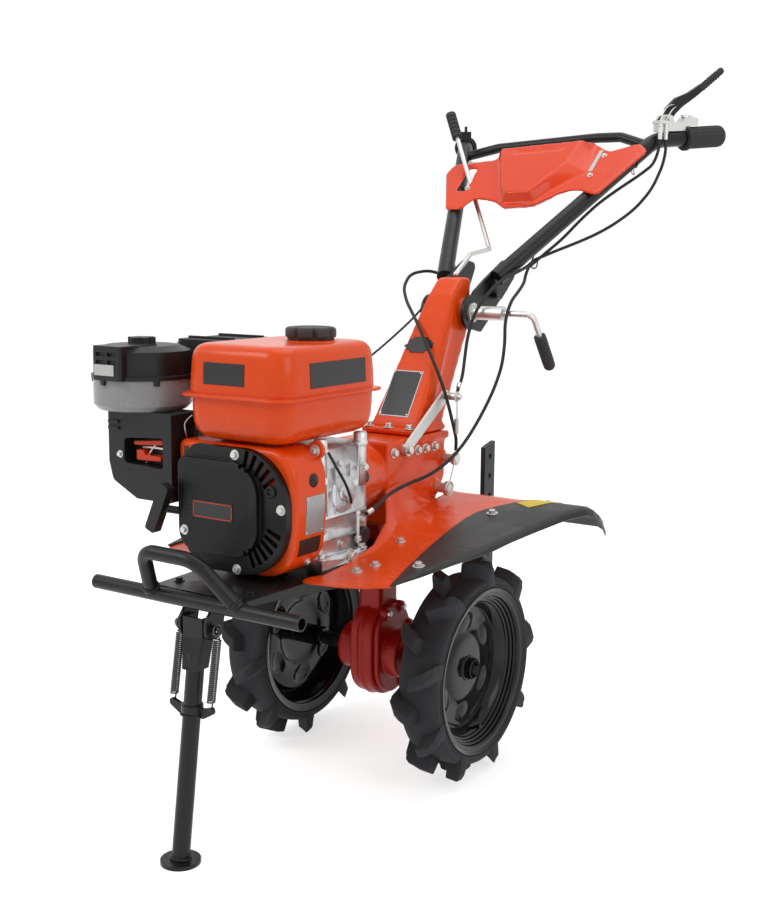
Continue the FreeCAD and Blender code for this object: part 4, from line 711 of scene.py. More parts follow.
    def repeated(self, count: int, axis: str = "Z") -> "Blank":
        """Repeats the shape evenly round an axis."""
        geometry = list(self.mesh.verts) + list(self.mesh.edges) + list(self.mesh.faces)
        for step in range(1, count):
            copied = bmesh.ops.duplicate(self.mesh, geom=geometry)["geom"]
            bmesh.ops.rotate(self.mesh, cent=(0, 0, 0),
                             matrix=Matrix.Rotation(math.tau * step / count, 3, axis),
                             verts=[item for item in copied if isinstance(item, bmesh.types.BMVert)])
        return self

    def mirrored(self) -> "Blank":
        """Swaps left and right."""
        bmesh.ops.scale(self.mesh, vec=(-1, 1, 1), verts=self.mesh.verts)
        bmesh.ops.reverse_faces(self.mesh, faces=self.mesh.faces)
        return self

    def sided(self, side: int) -> "Blank":
        """Mirrors the shape where the side is -1, the right."""
        return self if side > 0 else self.mirrored()

    def mended(self) -> "Blank":
        """Merges doubles and turns the faces outwards."""
        bmesh.ops.remove_doubles(self.mesh, verts=self.mesh.verts, dist=0.0005)
        bmesh.ops.recalc_face_normals(self.mesh, faces=self.mesh.faces)
        return self

    def piece(self, name: str, finish: Finish, body: Body | None, *replaced: str,
              sharp: float = 32, remesh: float = 0.0, relax: int = 0) -> bpy.types.Object:
        """Makes the finished piece and uses the shape up.

        Args:
            name: The piece's name.
            finish: Its finish.
            body: The body that it rides on, or none for a piece that bends across a joint.
            replaced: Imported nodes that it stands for.
            sharp: Degrees above which an edge stays crisp.
            remesh: Size of the voxels that the form is cast again in, if any, in millimetres.
            relax: How often the cast form is smoothed.

        Returns:
            The piece.
        """
        bmesh.ops.scale(self.mesh, vec=(1 / PER_METRE,) * 3, verts=self.mesh.verts)
        bmesh.ops.translate(self.mesh, vec=(0, AXLE_Y, 0), verts=self.mesh.verts)
        data = bpy.data.meshes.new(name)
        self.mesh.to_mesh(data)
        self.mesh.free()
        piece = shown(name, data)
        if remesh:
            data = recast(piece, remesh, relax)
        data.shade_smooth()
        data.set_sharp_from_angle(angle=math.radians(180 if remesh else sharp))
        data.materials.clear()
        data.materials.append(finish.material)
        if body:
            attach(piece, body.value)
        if replaced:
            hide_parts(*replaced)
        LOG.info("%s in %s", name, finish.name.lower())
        return piece


def rounded(centre: tuple[float, float], width: float, depth: float, radius: float, height: float,
            arc: int = 8) -> list[Point]:
    """A level rounded rectangle.

    Args:
        centre: Its middle.
        width: Size along X.
        depth: Size along Y.
        radius: Radius of the corners.
        height: Its level.
        arc: Points along each corner, less one.

    Returns:
        The points in order.
    """
    points = []
    for corner, (right, back) in enumerate(((1, 1), (-1, 1), (-1, -1), (1, -1))):
        for step in range(arc + 1):
            angle = math.pi / 2 * (corner + step / arc)
            points.append((centre[0] + right * (width / 2 - radius) + radius * math.cos(angle),
                           centre[1] + back * (depth / 2 - radius) + radius * math.sin(angle), height))
    return points


@dataclass
class Surface:
    """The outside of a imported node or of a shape, on which small pieces are seated."""

    base: "str | Blank"
    tree: BVHTree = field(init=False, repr=False)

    def __post_init__(self) -> None:
        """Prepares the faces for the search."""
        shape = Blank.from_node(self.base) if isinstance(self.base, str) else self.base
        self.tree = BVHTree.FromBMesh(shape.mesh)

    def hit(self, start: Sequence[float], direction: Sequence[float]) -> tuple[Vector, Vector]:
        """Finds where a line meets the node.

        Args:
            start: A point outside, in machine millimetres.
            direction: The line's direction.

        Returns:
            The place, in millimetres, and the surface's outward direction there.
        """
        where, normal, _, _ = self.tree.ray_cast(Vector(start), Vector(direction))
        if where is None:
            raise ValueError(f"nothing of {self.base} lies beyond {tuple(start)}")
        return where, normal

    def seated(self, shape: Blank, start: Sequence[float], direction: Sequence[float],
               sink: float = SEAT_DEPTH) -> Blank:
        """Stands a shape on the surface, its +Z outwards."""
        where, normal = self.hit(start, direction)
        return shape.facing(normal).moved(where - normal * sink)

    def bolted(self, head: tuple[float, ...], starts: Sequence[Sequence[float]],
               direction: Sequence[float], sink: float = SEAT_DEPTH) -> Blank:
        """Seats bolt heads of one size, as Blank.hexagon takes it, at several places."""
        return Blank().joined(*(self.seated(Blank.hexagon(*head), start, direction, sink)
                                for start in starts))

    def skin(self, corner: Sequence[float], across: Sequence[float], up: Sequence[float],
             thick: float = 0.5, cuts: tuple[int, int] = (8, 8)) -> Blank:
        """A thin plate that follows the surface.

        Args:
            corner: One corner, somewhere outside the surface.
            across: The side from that corner along the plate's width.
            up: The side along its height.
            thick: The plate's thickness.
            cuts: Faces along each side.

        Returns:
            The closed plate.
        """
        blank = Blank()
        side, rise = Vector(across), Vector(up)
        inward = -side.cross(rise).normalized()
        bmesh.ops.create_grid(blank.mesh, x_segments=cuts[0], y_segments=cuts[1], size=0.5)
        for vertex in blank.mesh.verts:
            start = Vector(corner) + side * (vertex.co.x + 0.5) + rise * (vertex.co.y + 0.5)
            where, normal = self.hit(start, inward)
            vertex.co = where + normal * 0.15
        top = bmesh.ops.extrude_face_region(blank.mesh, geom=list(blank.mesh.faces))["geom"]
        bmesh.ops.translate(blank.mesh, vec=-inward * thick,
                            verts=[item for item in top if isinstance(item, bmesh.types.BMVert)])
        return blank.mended()


# ---- wheels ---------------------------------------------------------------------


@dataclass
class Wheels:
    """Two lugged tyres on pressed rims with hexagon hubs."""

    axle: float = 190.0
    middle: float = 181.5
    tread: float = 161.5
    reach: float = 189.5
    lugs: int = 9
    lug_run: float = 40.0
    lug_half: float = 11.5
    sweep: float = math.radians(30)
    pockets: int = 6
    pocket_radius: float = 80.0
    pocket_depth: float = 5.5

    def lug(self) -> Blank:
        """One bar of the tread that rolls over the shoulder, at the top of the tyre."""
        bar = Blank.block((1, 2, 1), (0.5, 0, 0.5)).divided(7, (1, 0, 0))

        def rolled(point: Vector) -> Vector:
            """Places a point given as share along, side and share up."""
            run, side, up = point
            shoulder = max(0.0, (run - 0.62) / 0.38)
            foot = self.tread - 3 - 13 * shoulder ** 2
            crest = self.reach - 13 * shoulder ** 2.2
            half = self.lug_half * (1.32 - 0.42 * up) * (1 - 0.1 * run)
            lean = (run - 0.5) * self.lug_run * math.tan(self.sweep) + 4 * shoulder ** 2
            radius = foot + (crest - foot) * up
            turn = (side * half + lean) / radius
            return Vector((-1 + (self.lug_run + 0.2) * run ** 0.94 - 0.9 * up * shoulder,
                           radius * math.sin(turn), radius * math.cos(turn)))

        def held(point: Vector) -> Vector:
            """Keeps a point inside the tyre's outer radius."""
            share = min(1.0, self.reach / math.hypot(point.y, point.z))
            return Vector((point.x, point.y * share, point.z * share))

        return bar.shaped(rolled).bevelled(2.2, 2, 40).shaped(held)

    def tyre(self) -> Blank:
        """Carcass with a ribbed sidewall and both rows of lugs, about the axle, outside +X."""
        side = [(130.4, 33.4), (141.5, 33.9), (144.2, 35.2), (145.0, 38.2), (146.6, 39.2), (148.2, 38.2),
                (148.8, 36.9), (151.5, 37.9), (154.5, 37.4), (157.6, 35.4), (160.2, 31), (161.7, 24),
                (162.2, 12)]
        profile = side + [(radius, -height) for radius, height in reversed(side)]
        carcass = Blank.turned(profile + profile[:1], 90).turned_by(90, "Y")
        near = self.lug().repeated(self.lugs, "X")
        far = self.lug().mirrored().turned_by(180 / self.lugs, "X").repeated(self.lugs, "X")
        return carcass.joined(near, far)

    def rim(self) -> Blank:
        """Stepped rim, dished disc with pressed pockets and the hexagon hub."""
        flange = [(131.2, 35.2), (134.2, 35.4), (138.2, 36.2), (140.2, 38.2), (142.2, 38.9), (143.2, 38.2),
                  (142.0, 36.4), (140.9, 34.5), (132.0, 34.3), (129.9, 31)]
        steps = [(116.4, 12), (117.4, 15.2), (120.4, 16.6), (121.2, 20.4), (124.2, 21.8), (124.8, 26),
                 (127.2, 27.6), (127.8, 32.2), (129.6, 34.2)]
        inner = [(126.4, -20), (126.6, -26), (129.4, -29), (129.6, -34.6), (134.2, -35.4), (140.2, -38.2),
                 (142.2, -38.9), (143.2, -38.2), (140.9, -34.5), (132.0, -34.3), (129.9, -31)]
        loop = steps + flange + inner[::-1] + [(114.8, 8)]
        barrel = Blank.turned(loop + loop[:1], 96)
        face = [(14.8, 3.6), (36, 3.4), (47, 2.6), (56, 0.6), (62, -3.0), (68, -4.6), (80, -4.8),
                (92, -4.6), (98, -3.6), (105, -3.2), (109, 4.6), (113.4, 10.2), (116.6, 12.2)]
        disc = Blank.turned(face + [(radius, height - 3) for radius, height in face[::-1]] + face[:1], 144)

        def pressed(point: Vector) -> Vector:
            """Sinks a point inside a pocket."""
            radius, angle = math.hypot(point.x, point.y), math.atan2(point.y, point.x)
            off = (angle * self.pockets / math.tau + 0.5) % 1 - 0.5
            out = ((radius - self.pocket_radius) / 17) ** 2 + (off / 0.3) ** 2
            return point + Vector((0, 0, self.pocket_depth * max(0.0, 1 - out) ** 0.7))

        disc.divided(1).shaped(pressed)
        hub = Blank.cylinder(19, 79.5, 6).bevelled(1.4, 2).moved((0, 0, -62))
        bore = max(hub.mesh.faces, key=lambda face: face.calc_center_median().z)
        bmesh.ops.inset_region(hub.mesh, faces=[bore], thickness=4.6)
        bmesh.ops.translate(hub.mesh, vec=(0, 0, -9), verts=bore.verts)
        weld = Blank.ring(19.4, 2.6, 48, 8).moved((0, 0, 3.6))
        valve = Blank.along([(110, 0, 8), (106, 0, 14), (101, 0, 26)], 2.6, False, 1)
        valve.joined(Blank.cylinder(3.4, 8, 12).bevelled(0.6, 1).facing((-5, 0, 12)).moved((102.2, 0, 23)))
        return barrel.joined(disc, hub, weld, valve).turned_by(90, "Y")

    def build(self) -> None:
        """Makes both wheels."""
        for side, name in SIDES:
            for part, shape, finish in (("tyre", self.tyre(), Finish.TYRE_RUBBER),
                                        ("rim", self.rim(), Finish.RIM_ENAMEL)):
                shape.moved((self.middle, 0, self.axle)).sided(side).piece(
                    f"{part}_{name}_dressed", finish, Body.WHEELS, f"{part}_{name}", sharp=38)


# ---- front stand, bumper and deck -----------------------------------------------


@dataclass
class FrontStand:
    """Return springs, pivot hardware and welds of the folding stand."""

    pivot: Point = (0.0, -476.0, 350.0)
    hook: Point = (0.0, -491.6, 234.5)
    spring_x: float = 36.0
    coil_radius: float = 5.6
    wire: float = 1.3
    turns: int = 30
    foot_y: float = -523.0

    def spring(self, side: int) -> Blank:
        """One wound spring with an eye round the pin and a hook in the collar's ear."""
        top, low = Vector(self.pivot), Vector(self.hook)
        top.z -= 14
        low.z += 10
        run = top - low
        coil = Blank.wound(self.coil_radius, self.wire, self.turns, run.length).facing(run).moved(low)
        eye = Blank.ring(8.2, self.wire, 28, 6).turned_by(90, "Y").moved(self.pivot)
        neck = Blank.along([top + Vector((0, self.coil_radius, 0)), top + Vector((0, 3, 4)),
                            Vector(self.pivot) + Vector((0, 0.5, -8.2))], self.wire, True, 3)
        hook = Blank.along([low + Vector((0, self.coil_radius, 0)), low + Vector((0, 2, -4)),
                            Vector(self.hook) + Vector((0, 3.4, -2)), Vector(self.hook) + Vector((0, 0, -5)),
                            Vector(self.hook) + Vector((0, -3.4, 0))], self.wire, True, 4)
        return coil.joined(eye, neck, hook).moved((side * self.spring_x, 0, 0))

    def build(self) -> None:
        """Makes the stand's small parts."""
        for side, name in SIDES:
            self.spring(side).piece(f"spring_{name}_wound", Finish.SPRING_STEEL, Body.STAND,
                                    f"stand_spring_{name}", sharp=50)
        nuts = [Blank.hexagon(11, 3.4).turned_by(side * 90, "Y").moved(self.pivot).moved((side * 38.4, 0, 0))
                for side in (1, -1)]
        nuts[0].joined(nuts[1]).piece("stand_pin_nuts", Finish.ZINC_STEEL, Body.FRAME)
        seams = Blank.ring(14.2, 2.2, 36, 8).turned_by(-8, "X").moved((0, self.foot_y + 1, 7))
        seams.joined(Blank.ring(16.4, 1.6, 36, 8).turned_by(-8, "X").moved((0, -493.4, 220)))
        seams.piece("stand_welds", Finish.WELD_SEAM, Body.STAND)


@dataclass
class DeckFront:
    """Welds of the guard hoop and bolts of the deck."""

    bar: tuple[float, float] = (-486.0, 390.0)
    feet: tuple[float, float] = (-82.0, 88.0)
    tops: tuple[Point, Point] = ((-64.0, -522.0, 464.0), (34.0, -518.0, 462.0))

    def build(self) -> None:
        """Makes the seams and bolts."""
        beads = Blank()
        for foot, top in zip(self.feet, self.tops):
            start = Vector((foot, *self.bar))
            way = (Vector(top) - start).normalized()
            beads.joined(Blank.ring(11.6, 2.4, 36, 8).facing(way).moved(start + way * 12.5))
        for x in (-60, 60):
            beads.joined(Blank.along([(x, -476, 397), (x + 6, -475, 398), (x + 22, -475, 398),
                                      (x + 28, -476, 397)], 2.4, False, 1))
        beads.piece("bumper_welds", Finish.WELD_SEAM, Body.FRAME)
        for node, head, places, height, name, finish in (
                ("engine_deck", (10, 4.5, 8.5), ((-88, -160), (88, -160), (-70, -440), (70, -440)), 450,
                 "deck_bolts", Finish.BLACK_ENAMEL),
                ("crankcase", (13, 7, 10.5), ((90, -292), (90, -188), (-90, -292), (-90, -188)), 440,
                 "engine_mount_bolts", Finish.ZINC_STEEL)):
            Surface(node).bolted(head, [(x, y, height) for x, y in places], DOWNWARD).piece(
                name, finish, Body.FRAME)


# ---- engine ---------------------------------------------------------------------


@dataclass
class FuelTank:
    """Two pressed shells with a seam flange, the filler neck and the lobed cap."""

    centre: tuple[float, float] = (-4.5, -264.5)
    width: float = 211.0
    depth: float = 273.0
    seam: float = 679.0
    bottom: float = 608.0
    top: float = 757.0
    cap: tuple[float, float] = (25.0, -234.0)
    lobes: int = 8

    def shell(self, levels: Sequence[tuple[float, float, float]]) -> Blank:
        """Stacks sections given as inset, corner radius and height."""
        return Blank.stacked([rounded(self.centre, self.width - 2 * inset, self.depth - 2 * inset, radius,
                                      height) for inset, radius, height in levels])

    def body(self) -> Blank:
        """The welded tank."""
        seam, top, bottom = self.seam, self.top, self.bottom
        upper = self.shell([(8.5, 34, seam), (7.6, 34, seam + 6), (8, 35, seam + 30), (9.4, 36, top - 22),
                            (11, 36, top - 14), (14, 35, top - 8), (19, 32, top - 3.4), (26, 28, top - 1),
                            (40, 20, top - 0.2), (60, 16, top)])
        lower = self.shell([(60, 16, bottom), (46, 19, bottom + 0.6), (32, 25, bottom + 3),
                            (22, 29, bottom + 8), (15, 31, bottom + 16), (11.6, 32, bottom + 28),
                            (10, 33, bottom + 48), (9.6, 33, seam)])
        flange = self.shell([(1, 29, seam - 2.4), (0, 30, seam - 1.4), (0, 30, seam + 1.2),
                             (1, 29, seam + 2.2)])
        neck = Blank.turned([(0, 0), (45, 0), (44, 1.6), (41, 2.6), (0, 2.6)], 64)
        return upper.joined(lower, flange, neck.moved((*self.cap, top - 1.2)))

    def lid(self) -> Blank:
        """The filler cap, with broad lobes and narrow notches."""
        profile = [(0, 1.6), (36.5, 1.6), (37, 5), (39.4, 6), (40, 8), (40, 16.5), (38.8, 19.6),
                   (36, 21.3), (28, 21.9), (26.5, 21), (12, 21), (0, 21.4)]
        cap = Blank.turned(profile, 160)

        def notched(point: Vector) -> Vector:
            """Draws the rim in at the notches."""
            angle = math.atan2(point.y, point.x)
            radius = math.hypot(point.x, point.y)
            notch = max(0.0, math.cos(self.lobes * angle)) ** 5
            share = min(1.0, max(0.0, (radius - 26) / 12)) if point.z > 5.5 else 0.0
            draw = 1 - 0.13 * notch * share
            return Vector((point.x * draw, point.y * draw, point.z))

        return cap.shaped(notched).moved((*self.cap, self.top))

    def build(self) -> None:
        """Makes the tank, its cap and the plain plates on it."""
        shells = self.body()
        skin = Surface(shells).skin
        shells.piece("tank_shells", Finish.ORANGE_ENAMEL, Body.FRAME, "fuel_tank", sharp=50)
        self.lid().piece("lobed_cap", Finish.GREY_MOULDING, Body.FRAME, "fuel_cap", sharp=40)
        plates = skin((-57, -450, 697), (79, 0, 0), (0, 0, 33), 0.7)
        plates.joined(skin((150, -326, 693), (0, 144, 0), (0, 0, 38), 0.7))
        plates.piece("tank_plates_plain", Finish.DARK_PLATE, Body.FRAME)


@dataclass
class Engine:
    """Fasteners, plates, leads and covers of the engine."""

    lug: Point = (88.0, -308.3, 598.0)
    posts: tuple[float, float] = (-286.0, -180.0)
    post_top: float = 612.0
    stud: tuple[float, float] = (93.0, -201.0)
    can_height: float = 95.0
    guard_ribs: int = 8
    pipe: tuple[float, float] = (18.0, 26.0)
    lid_radius: float = 80.0
    lid_centre: tuple[float, float] = (-225.0, -350.0)

    def starter(self) -> None:
        """Screws, rope boss and the framed plain plate of the recoil cover."""
        cover = Surface("recoil_starter")
        screws = [(x, FRONT_SIDE, z) for x, z in ((2, 594), (89, 520), (4, 419), (-92, 470))]
        cover.bolted((9, 5, 8), screws, BACKWARD).piece("starter_screws", Finish.ZINC_STEEL, Body.FRAME)
        boss = Blank.turned([(5, 0), (9.5, 0), (9, 3.4), (7.6, 4.4), (6, 4.2), (5, 3), (5, 0)], 36)
        boss.joined(Blank.cylinder(5.2, 0.8, 24))
        cover.seated(boss, (70, FRONT_SIDE, 545), BACKWARD).piece(
            "starter_boss", Finish.BLACK_MOULDING, Body.FRAME)
        cover.skin((-74, FRONT_SIDE, 493), (79, 0, 0), (0, 0, 26.5), 0.9).piece(
            "starter_plate_plain", Finish.DARK_PLATE, Body.FRAME)
        frame_bars = Blank()
        for x, z, wide, high in ((-73, 494, 77, 1.5), (-73, 517, 77, 1.5), (-73, 494, 1.5, 24.5),
                                 (2.5, 494, 1.5, 24.5)):
            frame_bars.joined(cover.skin((x, FRONT_SIDE, z), (wide, 0, 0), (0, 0, high), 1.3, (6, 6)))
        frame_bars.piece("starter_plate_frame", Finish.ORANGE_MOULDING, Body.FRAME)

    def cowl(self) -> None:
        """Bolts, plug, riveted plate and plain labels of the fan cowl."""
        cowl = Surface("fan_shroud")
        bolts = Blank.hexagon(10, 6, 9.5).facing((0, -1, 0)).moved(self.lug)
        bolts.joined(cowl.bolted((8, 4, 7), [(LEFT_SIDE, -324, 429)], INWARD))
        bolts.piece("cowl_bolts", Finish.ZINC_STEEL, Body.FRAME)
        plug = Blank.turned([(0, 0), (10, 0), (10.6, 1.2), (9, 2.4), (3, 3.2), (0, 3.2)], 36)
        cowl.seated(plug, (LEFT_SIDE, -330, 557), INWARD).piece(
            "cowl_plug", Finish.BLACK_MOULDING, Body.FRAME)
        cowl.skin((LEFT_SIDE, -350, 475), (0, 45, 0), (0, 0, 59), 0.8).piece(
            "cowl_plate_plain", Finish.SILVER_PLATE, Body.FRAME)
        rivets = Blank()
        for y in (-346.5, -308.5):
            for z in (479, 530):
                rivets.joined(cowl.seated(Blank.cylinder(2, 2, 14, 1.2), (LEFT_SIDE, y, z), INWARD, 0))
        rivets.piece("cowl_rivets", Finish.ZINC_STEEL, Body.FRAME)
        labels = cowl.skin((LEFT_SIDE, -362, 444), (0, 52, 0), (0, 0, 26), 0.5)
        labels.joined(cowl.skin((-112, FRONT_SIDE, 566), (9, 0, 0), (0, 0, 30), 0.5, (3, 6)))
        labels.piece("cowl_labels_plain", Finish.DARK_PLATE, Body.FRAME)

    def block(self) -> None:
        """Block with its posts cut level, their collars, ribs, bolts, the lead and the caps."""
        casting = Blank.from_node("crankcase").shaped(
            lambda point: Vector((point.x, point.y, min(point.z, self.post_top))))
        case = Surface(casting)
        metal = Blank()
        for y in self.posts:
            collar = Blank.turned([(0, 0), (12.6, 0.6), (12.6, 5), (11, 6.4), (11, 17), (10.4, 18), (0, 18)],
                                  32)
            metal.joined(collar.moved((82, y, 592)))
        x, y = self.stud
        metal.joined(Blank.along([(x, y, 436), (x, y, 488)], 3.2, False),
                     Blank.hexagon(11, 6, 7).moved((x, y, 440)), Blank.hexagon(9, 5).moved((x, y, 482)))
        heads = [(LEFT_SIDE, y, z) for y, z in ((-290, 470), (-290, 548), (-182, 556), (-184, 470),
                                                (-236, 566), (-240, 440))]
        metal.joined(case.bolted((9, 5, 7), heads, INWARD),
                     case.bolted((17, 9, 13), [(LEFT_SIDE, -227, 419)], INWARD))
        casting.piece("block_casting", Finish.CAST_ALUMINIUM, Body.FRAME, "crankcase")
        metal.piece("block_fasteners", Finish.ZINC_STEEL, Body.FRAME)
        ribs = Blank()
        for y in (-276, -254, -214):
            ribs.joined(Blank.block((6, 3.2, 74), (86, y, 528)).bevelled(1.2))
        cover = Blank.turned([(0, 0), (30, 0), (30, 3), (27, 4.6), (12, 4.6), (9, 7), (0, 7.4)], 48)
        ribs.joined(case.seated(cover, (LEFT_SIDE, -232, 520), INWARD, 1.5))
        ribs.piece("block_ribs", Finish.CAST_ALUMINIUM, Body.FRAME)
        dark = Blank.along([(95, -283, 592), (101, -274, 572), (103, -250, 542), (99, -230, 516),
                            (93, -219, 504)], 2.3, True, 8)
        knob = Blank.turned([(0, 0), (12, 0), (13.5, 3), (13.5, 10), (11.5, 13), (0, 13.4)], 40)
        dark.joined(case.seated(knob, (LEFT_SIDE, -186, 447), INWARD, 0.5))
        dip = Blank.turned([(0, 0), (9, 0), (10, 2), (10, 8), (8, 10.5), (0, 10.5)], 32)
        dark.joined(Surface("gearbox_housing").seated(dip, (LEFT_SIDE, -150, 532), INWARD, 1))
        dark.piece("block_lead_and_caps", Finish.BLACK_MOULDING, Body.FRAME)

    def intake(self) -> None:
        """Plain label, linkages, hose and lid clips of the air cleaner and carburettor."""
        Surface("air_cleaner_lid").skin((-246, -500, 702), (42, 0, 0), (0, 0, 17), 0.5).piece(
            "lid_label_plain", Finish.PALE_LABEL, Body.FRAME)
        links = Blank.hexagon(7, 4, 6).facing((0, -1, 0)).moved((-236, -392.2, 573))
        links.joined(Blank.along([(-205, -372, 584), (-180, -373, 587), (-158, -372, 585)], 2.2, True, 4),
                     Blank.along([(-198, -373, 560), (-192, -374, 578), (-170, -374, 596)], 1.6, True, 4),
                     Blank.along([(-118, -352, 640), (-122, -366, 632), (-116, -372, 620), (-121, -362, 606)],
                                 1.3, True, 5))
        links.piece("carburettor_links", Finish.ZINC_STEEL, Body.FRAME)
        hose = Blank.along([(-134, -322, 636), (-124, -334, 634), (-116, -344, 622), (-117, -346, 606),
                            (-124, -340, 592)], 3.4, True, 8)
        hose.piece("fuel_hoses", Finish.CABLE_SHEATH, Body.FRAME)
        clips = Blank()
        for angle in (-150, -95, -30, 60):
            x = self.lid_centre[0] + self.lid_radius * math.cos(math.radians(angle))
            y = self.lid_centre[1] + self.lid_radius * math.sin(math.radians(angle))
            clips.joined(Blank.block((5, 9, 14)).bevelled(1).turned_by(angle, "Z").moved((x, y, 693)))
        clips.piece("lid_clips", Finish.BLACK_MOULDING, Body.FRAME)

    def silencer(self) -> None:
        """Pressed ribs of the silencer's guard, the tail pipe and the screws."""
        low, high = (corner * PER_METRE - Vector((0, AXLE_Y * PER_METRE, 0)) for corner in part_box("muffler"))
        low.z = high.z - self.can_height
        middle, size = (low + high) / 2, high - low
        guard = Blank()
        for step in range(self.guard_ribs):
            y = low.y + size.y * (step + 1) / (self.guard_ribs + 1)
            guard.joined(Blank.block((3.4, 6, size.z * 0.6), (low.x, y, middle.z)).bevelled(1.4))
        x, z = middle.x + self.pipe[0], low.z + self.pipe[1]
        for profile, sunk in (([(8.4, 0), (11, 0), (11, 26), (10.4, 26.6), (8.4, 26), (8.4, 0)], 3),
                              ([(0, 0), (17, 0), (17, 2.4), (14, 4), (0, 4)], 0.5)):
            guard.joined(Blank.turned(profile, 36).facing(BACKWARD).moved((x, high.y - sunk, z)))
        guard.piece("silencer_guard", Finish.SILENCER_PAINT, Body.FRAME)
        corners = [(low.x - 50, low.y + size.y * y, low.z + size.z * z) for z in (0.12, 0.88)
                   for y in (0.1, 0.9)]
        Surface("muffler").bolted((8, 4, 6), corners, (1, 0, 0)).piece(
            "silencer_screws", Finish.ZINC_STEEL, Body.FRAME)

    def build(self) -> None:
        """Makes all small parts of the engine."""
        self.silencer()
        self.starter()
        self.cowl()
        self.block()
        self.intake()


# ---- gearbox, column and fenders ------------------------------------------------


@dataclass
class Drive:
    """Fasteners, plates and small rods of the gearbox, chain case and column."""

    slope: Vector = field(default_factory=lambda: Vector((0, 0.5564, 0.8309)))
    outward: Vector = field(default_factory=lambda: Vector((0, -0.8309, 0.5564)))

    def fasteners(self) -> None:
        """Bolts of the gearbox, the column's foot and the chain case."""
        bolts = Surface("column").bolted((11, 6.5, 9.5), ((-42, 29, 650), (0, 28, 650), (42, 29, 650)),
                                         DOWNWARD)
        box, cover = ([(LEFT_SIDE, y, z) for y, z in places] for places in (
            ((36, 552), (62, 552), (-40, 556), (-44, 452), (92, 552)),
            ((25.4, 128.7), (50.7, 171.3), (49.3, 229.7), (20.2, 270.3), (-25.4, 266.9))))
        bolts.joined(Surface("gearbox_housing").bolted((11, 6, 9), box, INWARD),
                     Blank.hexagon(13, 6, 10.5).turned_by(90, "Y").moved((65.4, -9, 558)),
                     Blank.hexagon(9, 5).turned_by(90, "Y").moved((89, 118, 640)),
                     Surface("leg_cover").bolted((10, 6), cover, INWARD))
        bolts.piece("drive_bolts", Finish.ZINC_STEEL, Body.FRAME)

    def plates(self) -> None:
        """Plain badge and riveted plain data plate on the column's face."""
        column = Surface("column")
        skin = column.skin
        away = self.outward * STAND_OFF
        low = Vector((-39, 53.6, 604.6)) + away
        rise = self.slope * 93
        skin(low, (62, 0, 0), rise, 0.5).piece("column_plate_rim", Finish.SILVER_PLATE, Body.FRAME)
        inner = low + Vector((2, 0, 0)) + self.slope * 2
        face = skin(inner, (58, 0, 0), self.slope * 89, 0.9)
        badge = Vector((-36, 126.4, 713.6)) + away
        face.joined(skin(badge + self.slope * 10, (59, 0, 0), self.slope * 12, 1.0),
                    skin(badge + Vector((6, 0, 0)) + self.slope * 5, (47, 0, 0), self.slope * 22, 1.2),
                    skin(badge + Vector((14, 0, 0)), (31, 0, 0), self.slope * 32, 1.4))
        face.piece("column_plates_plain", Finish.DARK_PLATE, Body.FRAME)
        rivets = Blank()
        for x in (-35.5, 19.5):
            for share in (0.05, 0.95):
                at = low + rise * share
                rivets.joined(column.seated(Blank.cylinder(2.1, 2.4, 14, 1.3), (x, at.y, at.z),
                                            -self.outward, 0))
        rivets.piece("column_rivets", Finish.ZINC_STEEL, Body.FRAME)

    def rods(self) -> None:
        """Return spring and links of the selector, and the seam at the column's foot."""
        link = Blank.along([(86, 118, 633), (86, 119, 600), (85, 117, 574)], 1.4, False, 1)
        link.joined(Blank.along([(88, 116, 545), (88, 104, 512), (88, 93, 490)], 1.4, False, 1))
        link.joined(Blank.wound(3.4, 0.9, 14, 26.88).moved((85.5, 117.5, 574)))
        for radius, steps, centre in ((8.6, 24, (86, 118, 640)), (12.8, 28, (88, 92, 478)),
                                      (9.4, 28, (88, 118, 528))):
            link.joined(Blank.ring(radius, 1.3, steps, 8).turned_by(90, "Y").moved(centre))
        link.piece("selector_links", Finish.ZINC_STEEL, Body.FRAME)
        seam = Blank.along([(-49, 42, 589.5), (49, 42, 589.5), (49, 127, 589.5), (-49, 127, 589.5),
                            (-49, 43, 589.5)], 2.6, False, 1)
        seam.piece("column_seam", Finish.ORANGE_ENAMEL, Body.FRAME)

    def castings(self) -> None:
        """Casts the column, the gearbox, its leg and its cover again with rounded edges."""
        for node, name, finish, voxel, relax in (
                ("column", "column_pressing", Finish.ORANGE_ENAMEL, 2.3, 36),
                ("gearbox_housing", "gearbox_casting", Finish.ORANGE_ENAMEL, 2.2, 16),
                # The leg and its cover get the orange enamel darkened as painted shade.
                ("gearbox_leg", "leg_casting", Finish.ORANGE_ENAMEL_PAINTED_SHADE, 2.2, 14),
                ("leg_cover", "leg_cover_casting", Finish.ORANGE_ENAMEL_PAINTED_SHADE, 1.8, 5)):
            Blank.from_node(node).piece(name, finish, Body.FRAME, node, remesh=voxel, relax=relax)

    def build(self) -> None:
        """Makes all small parts of the drive."""
        self.castings()
        self.fasteners()
        self.plates()
        self.rods()


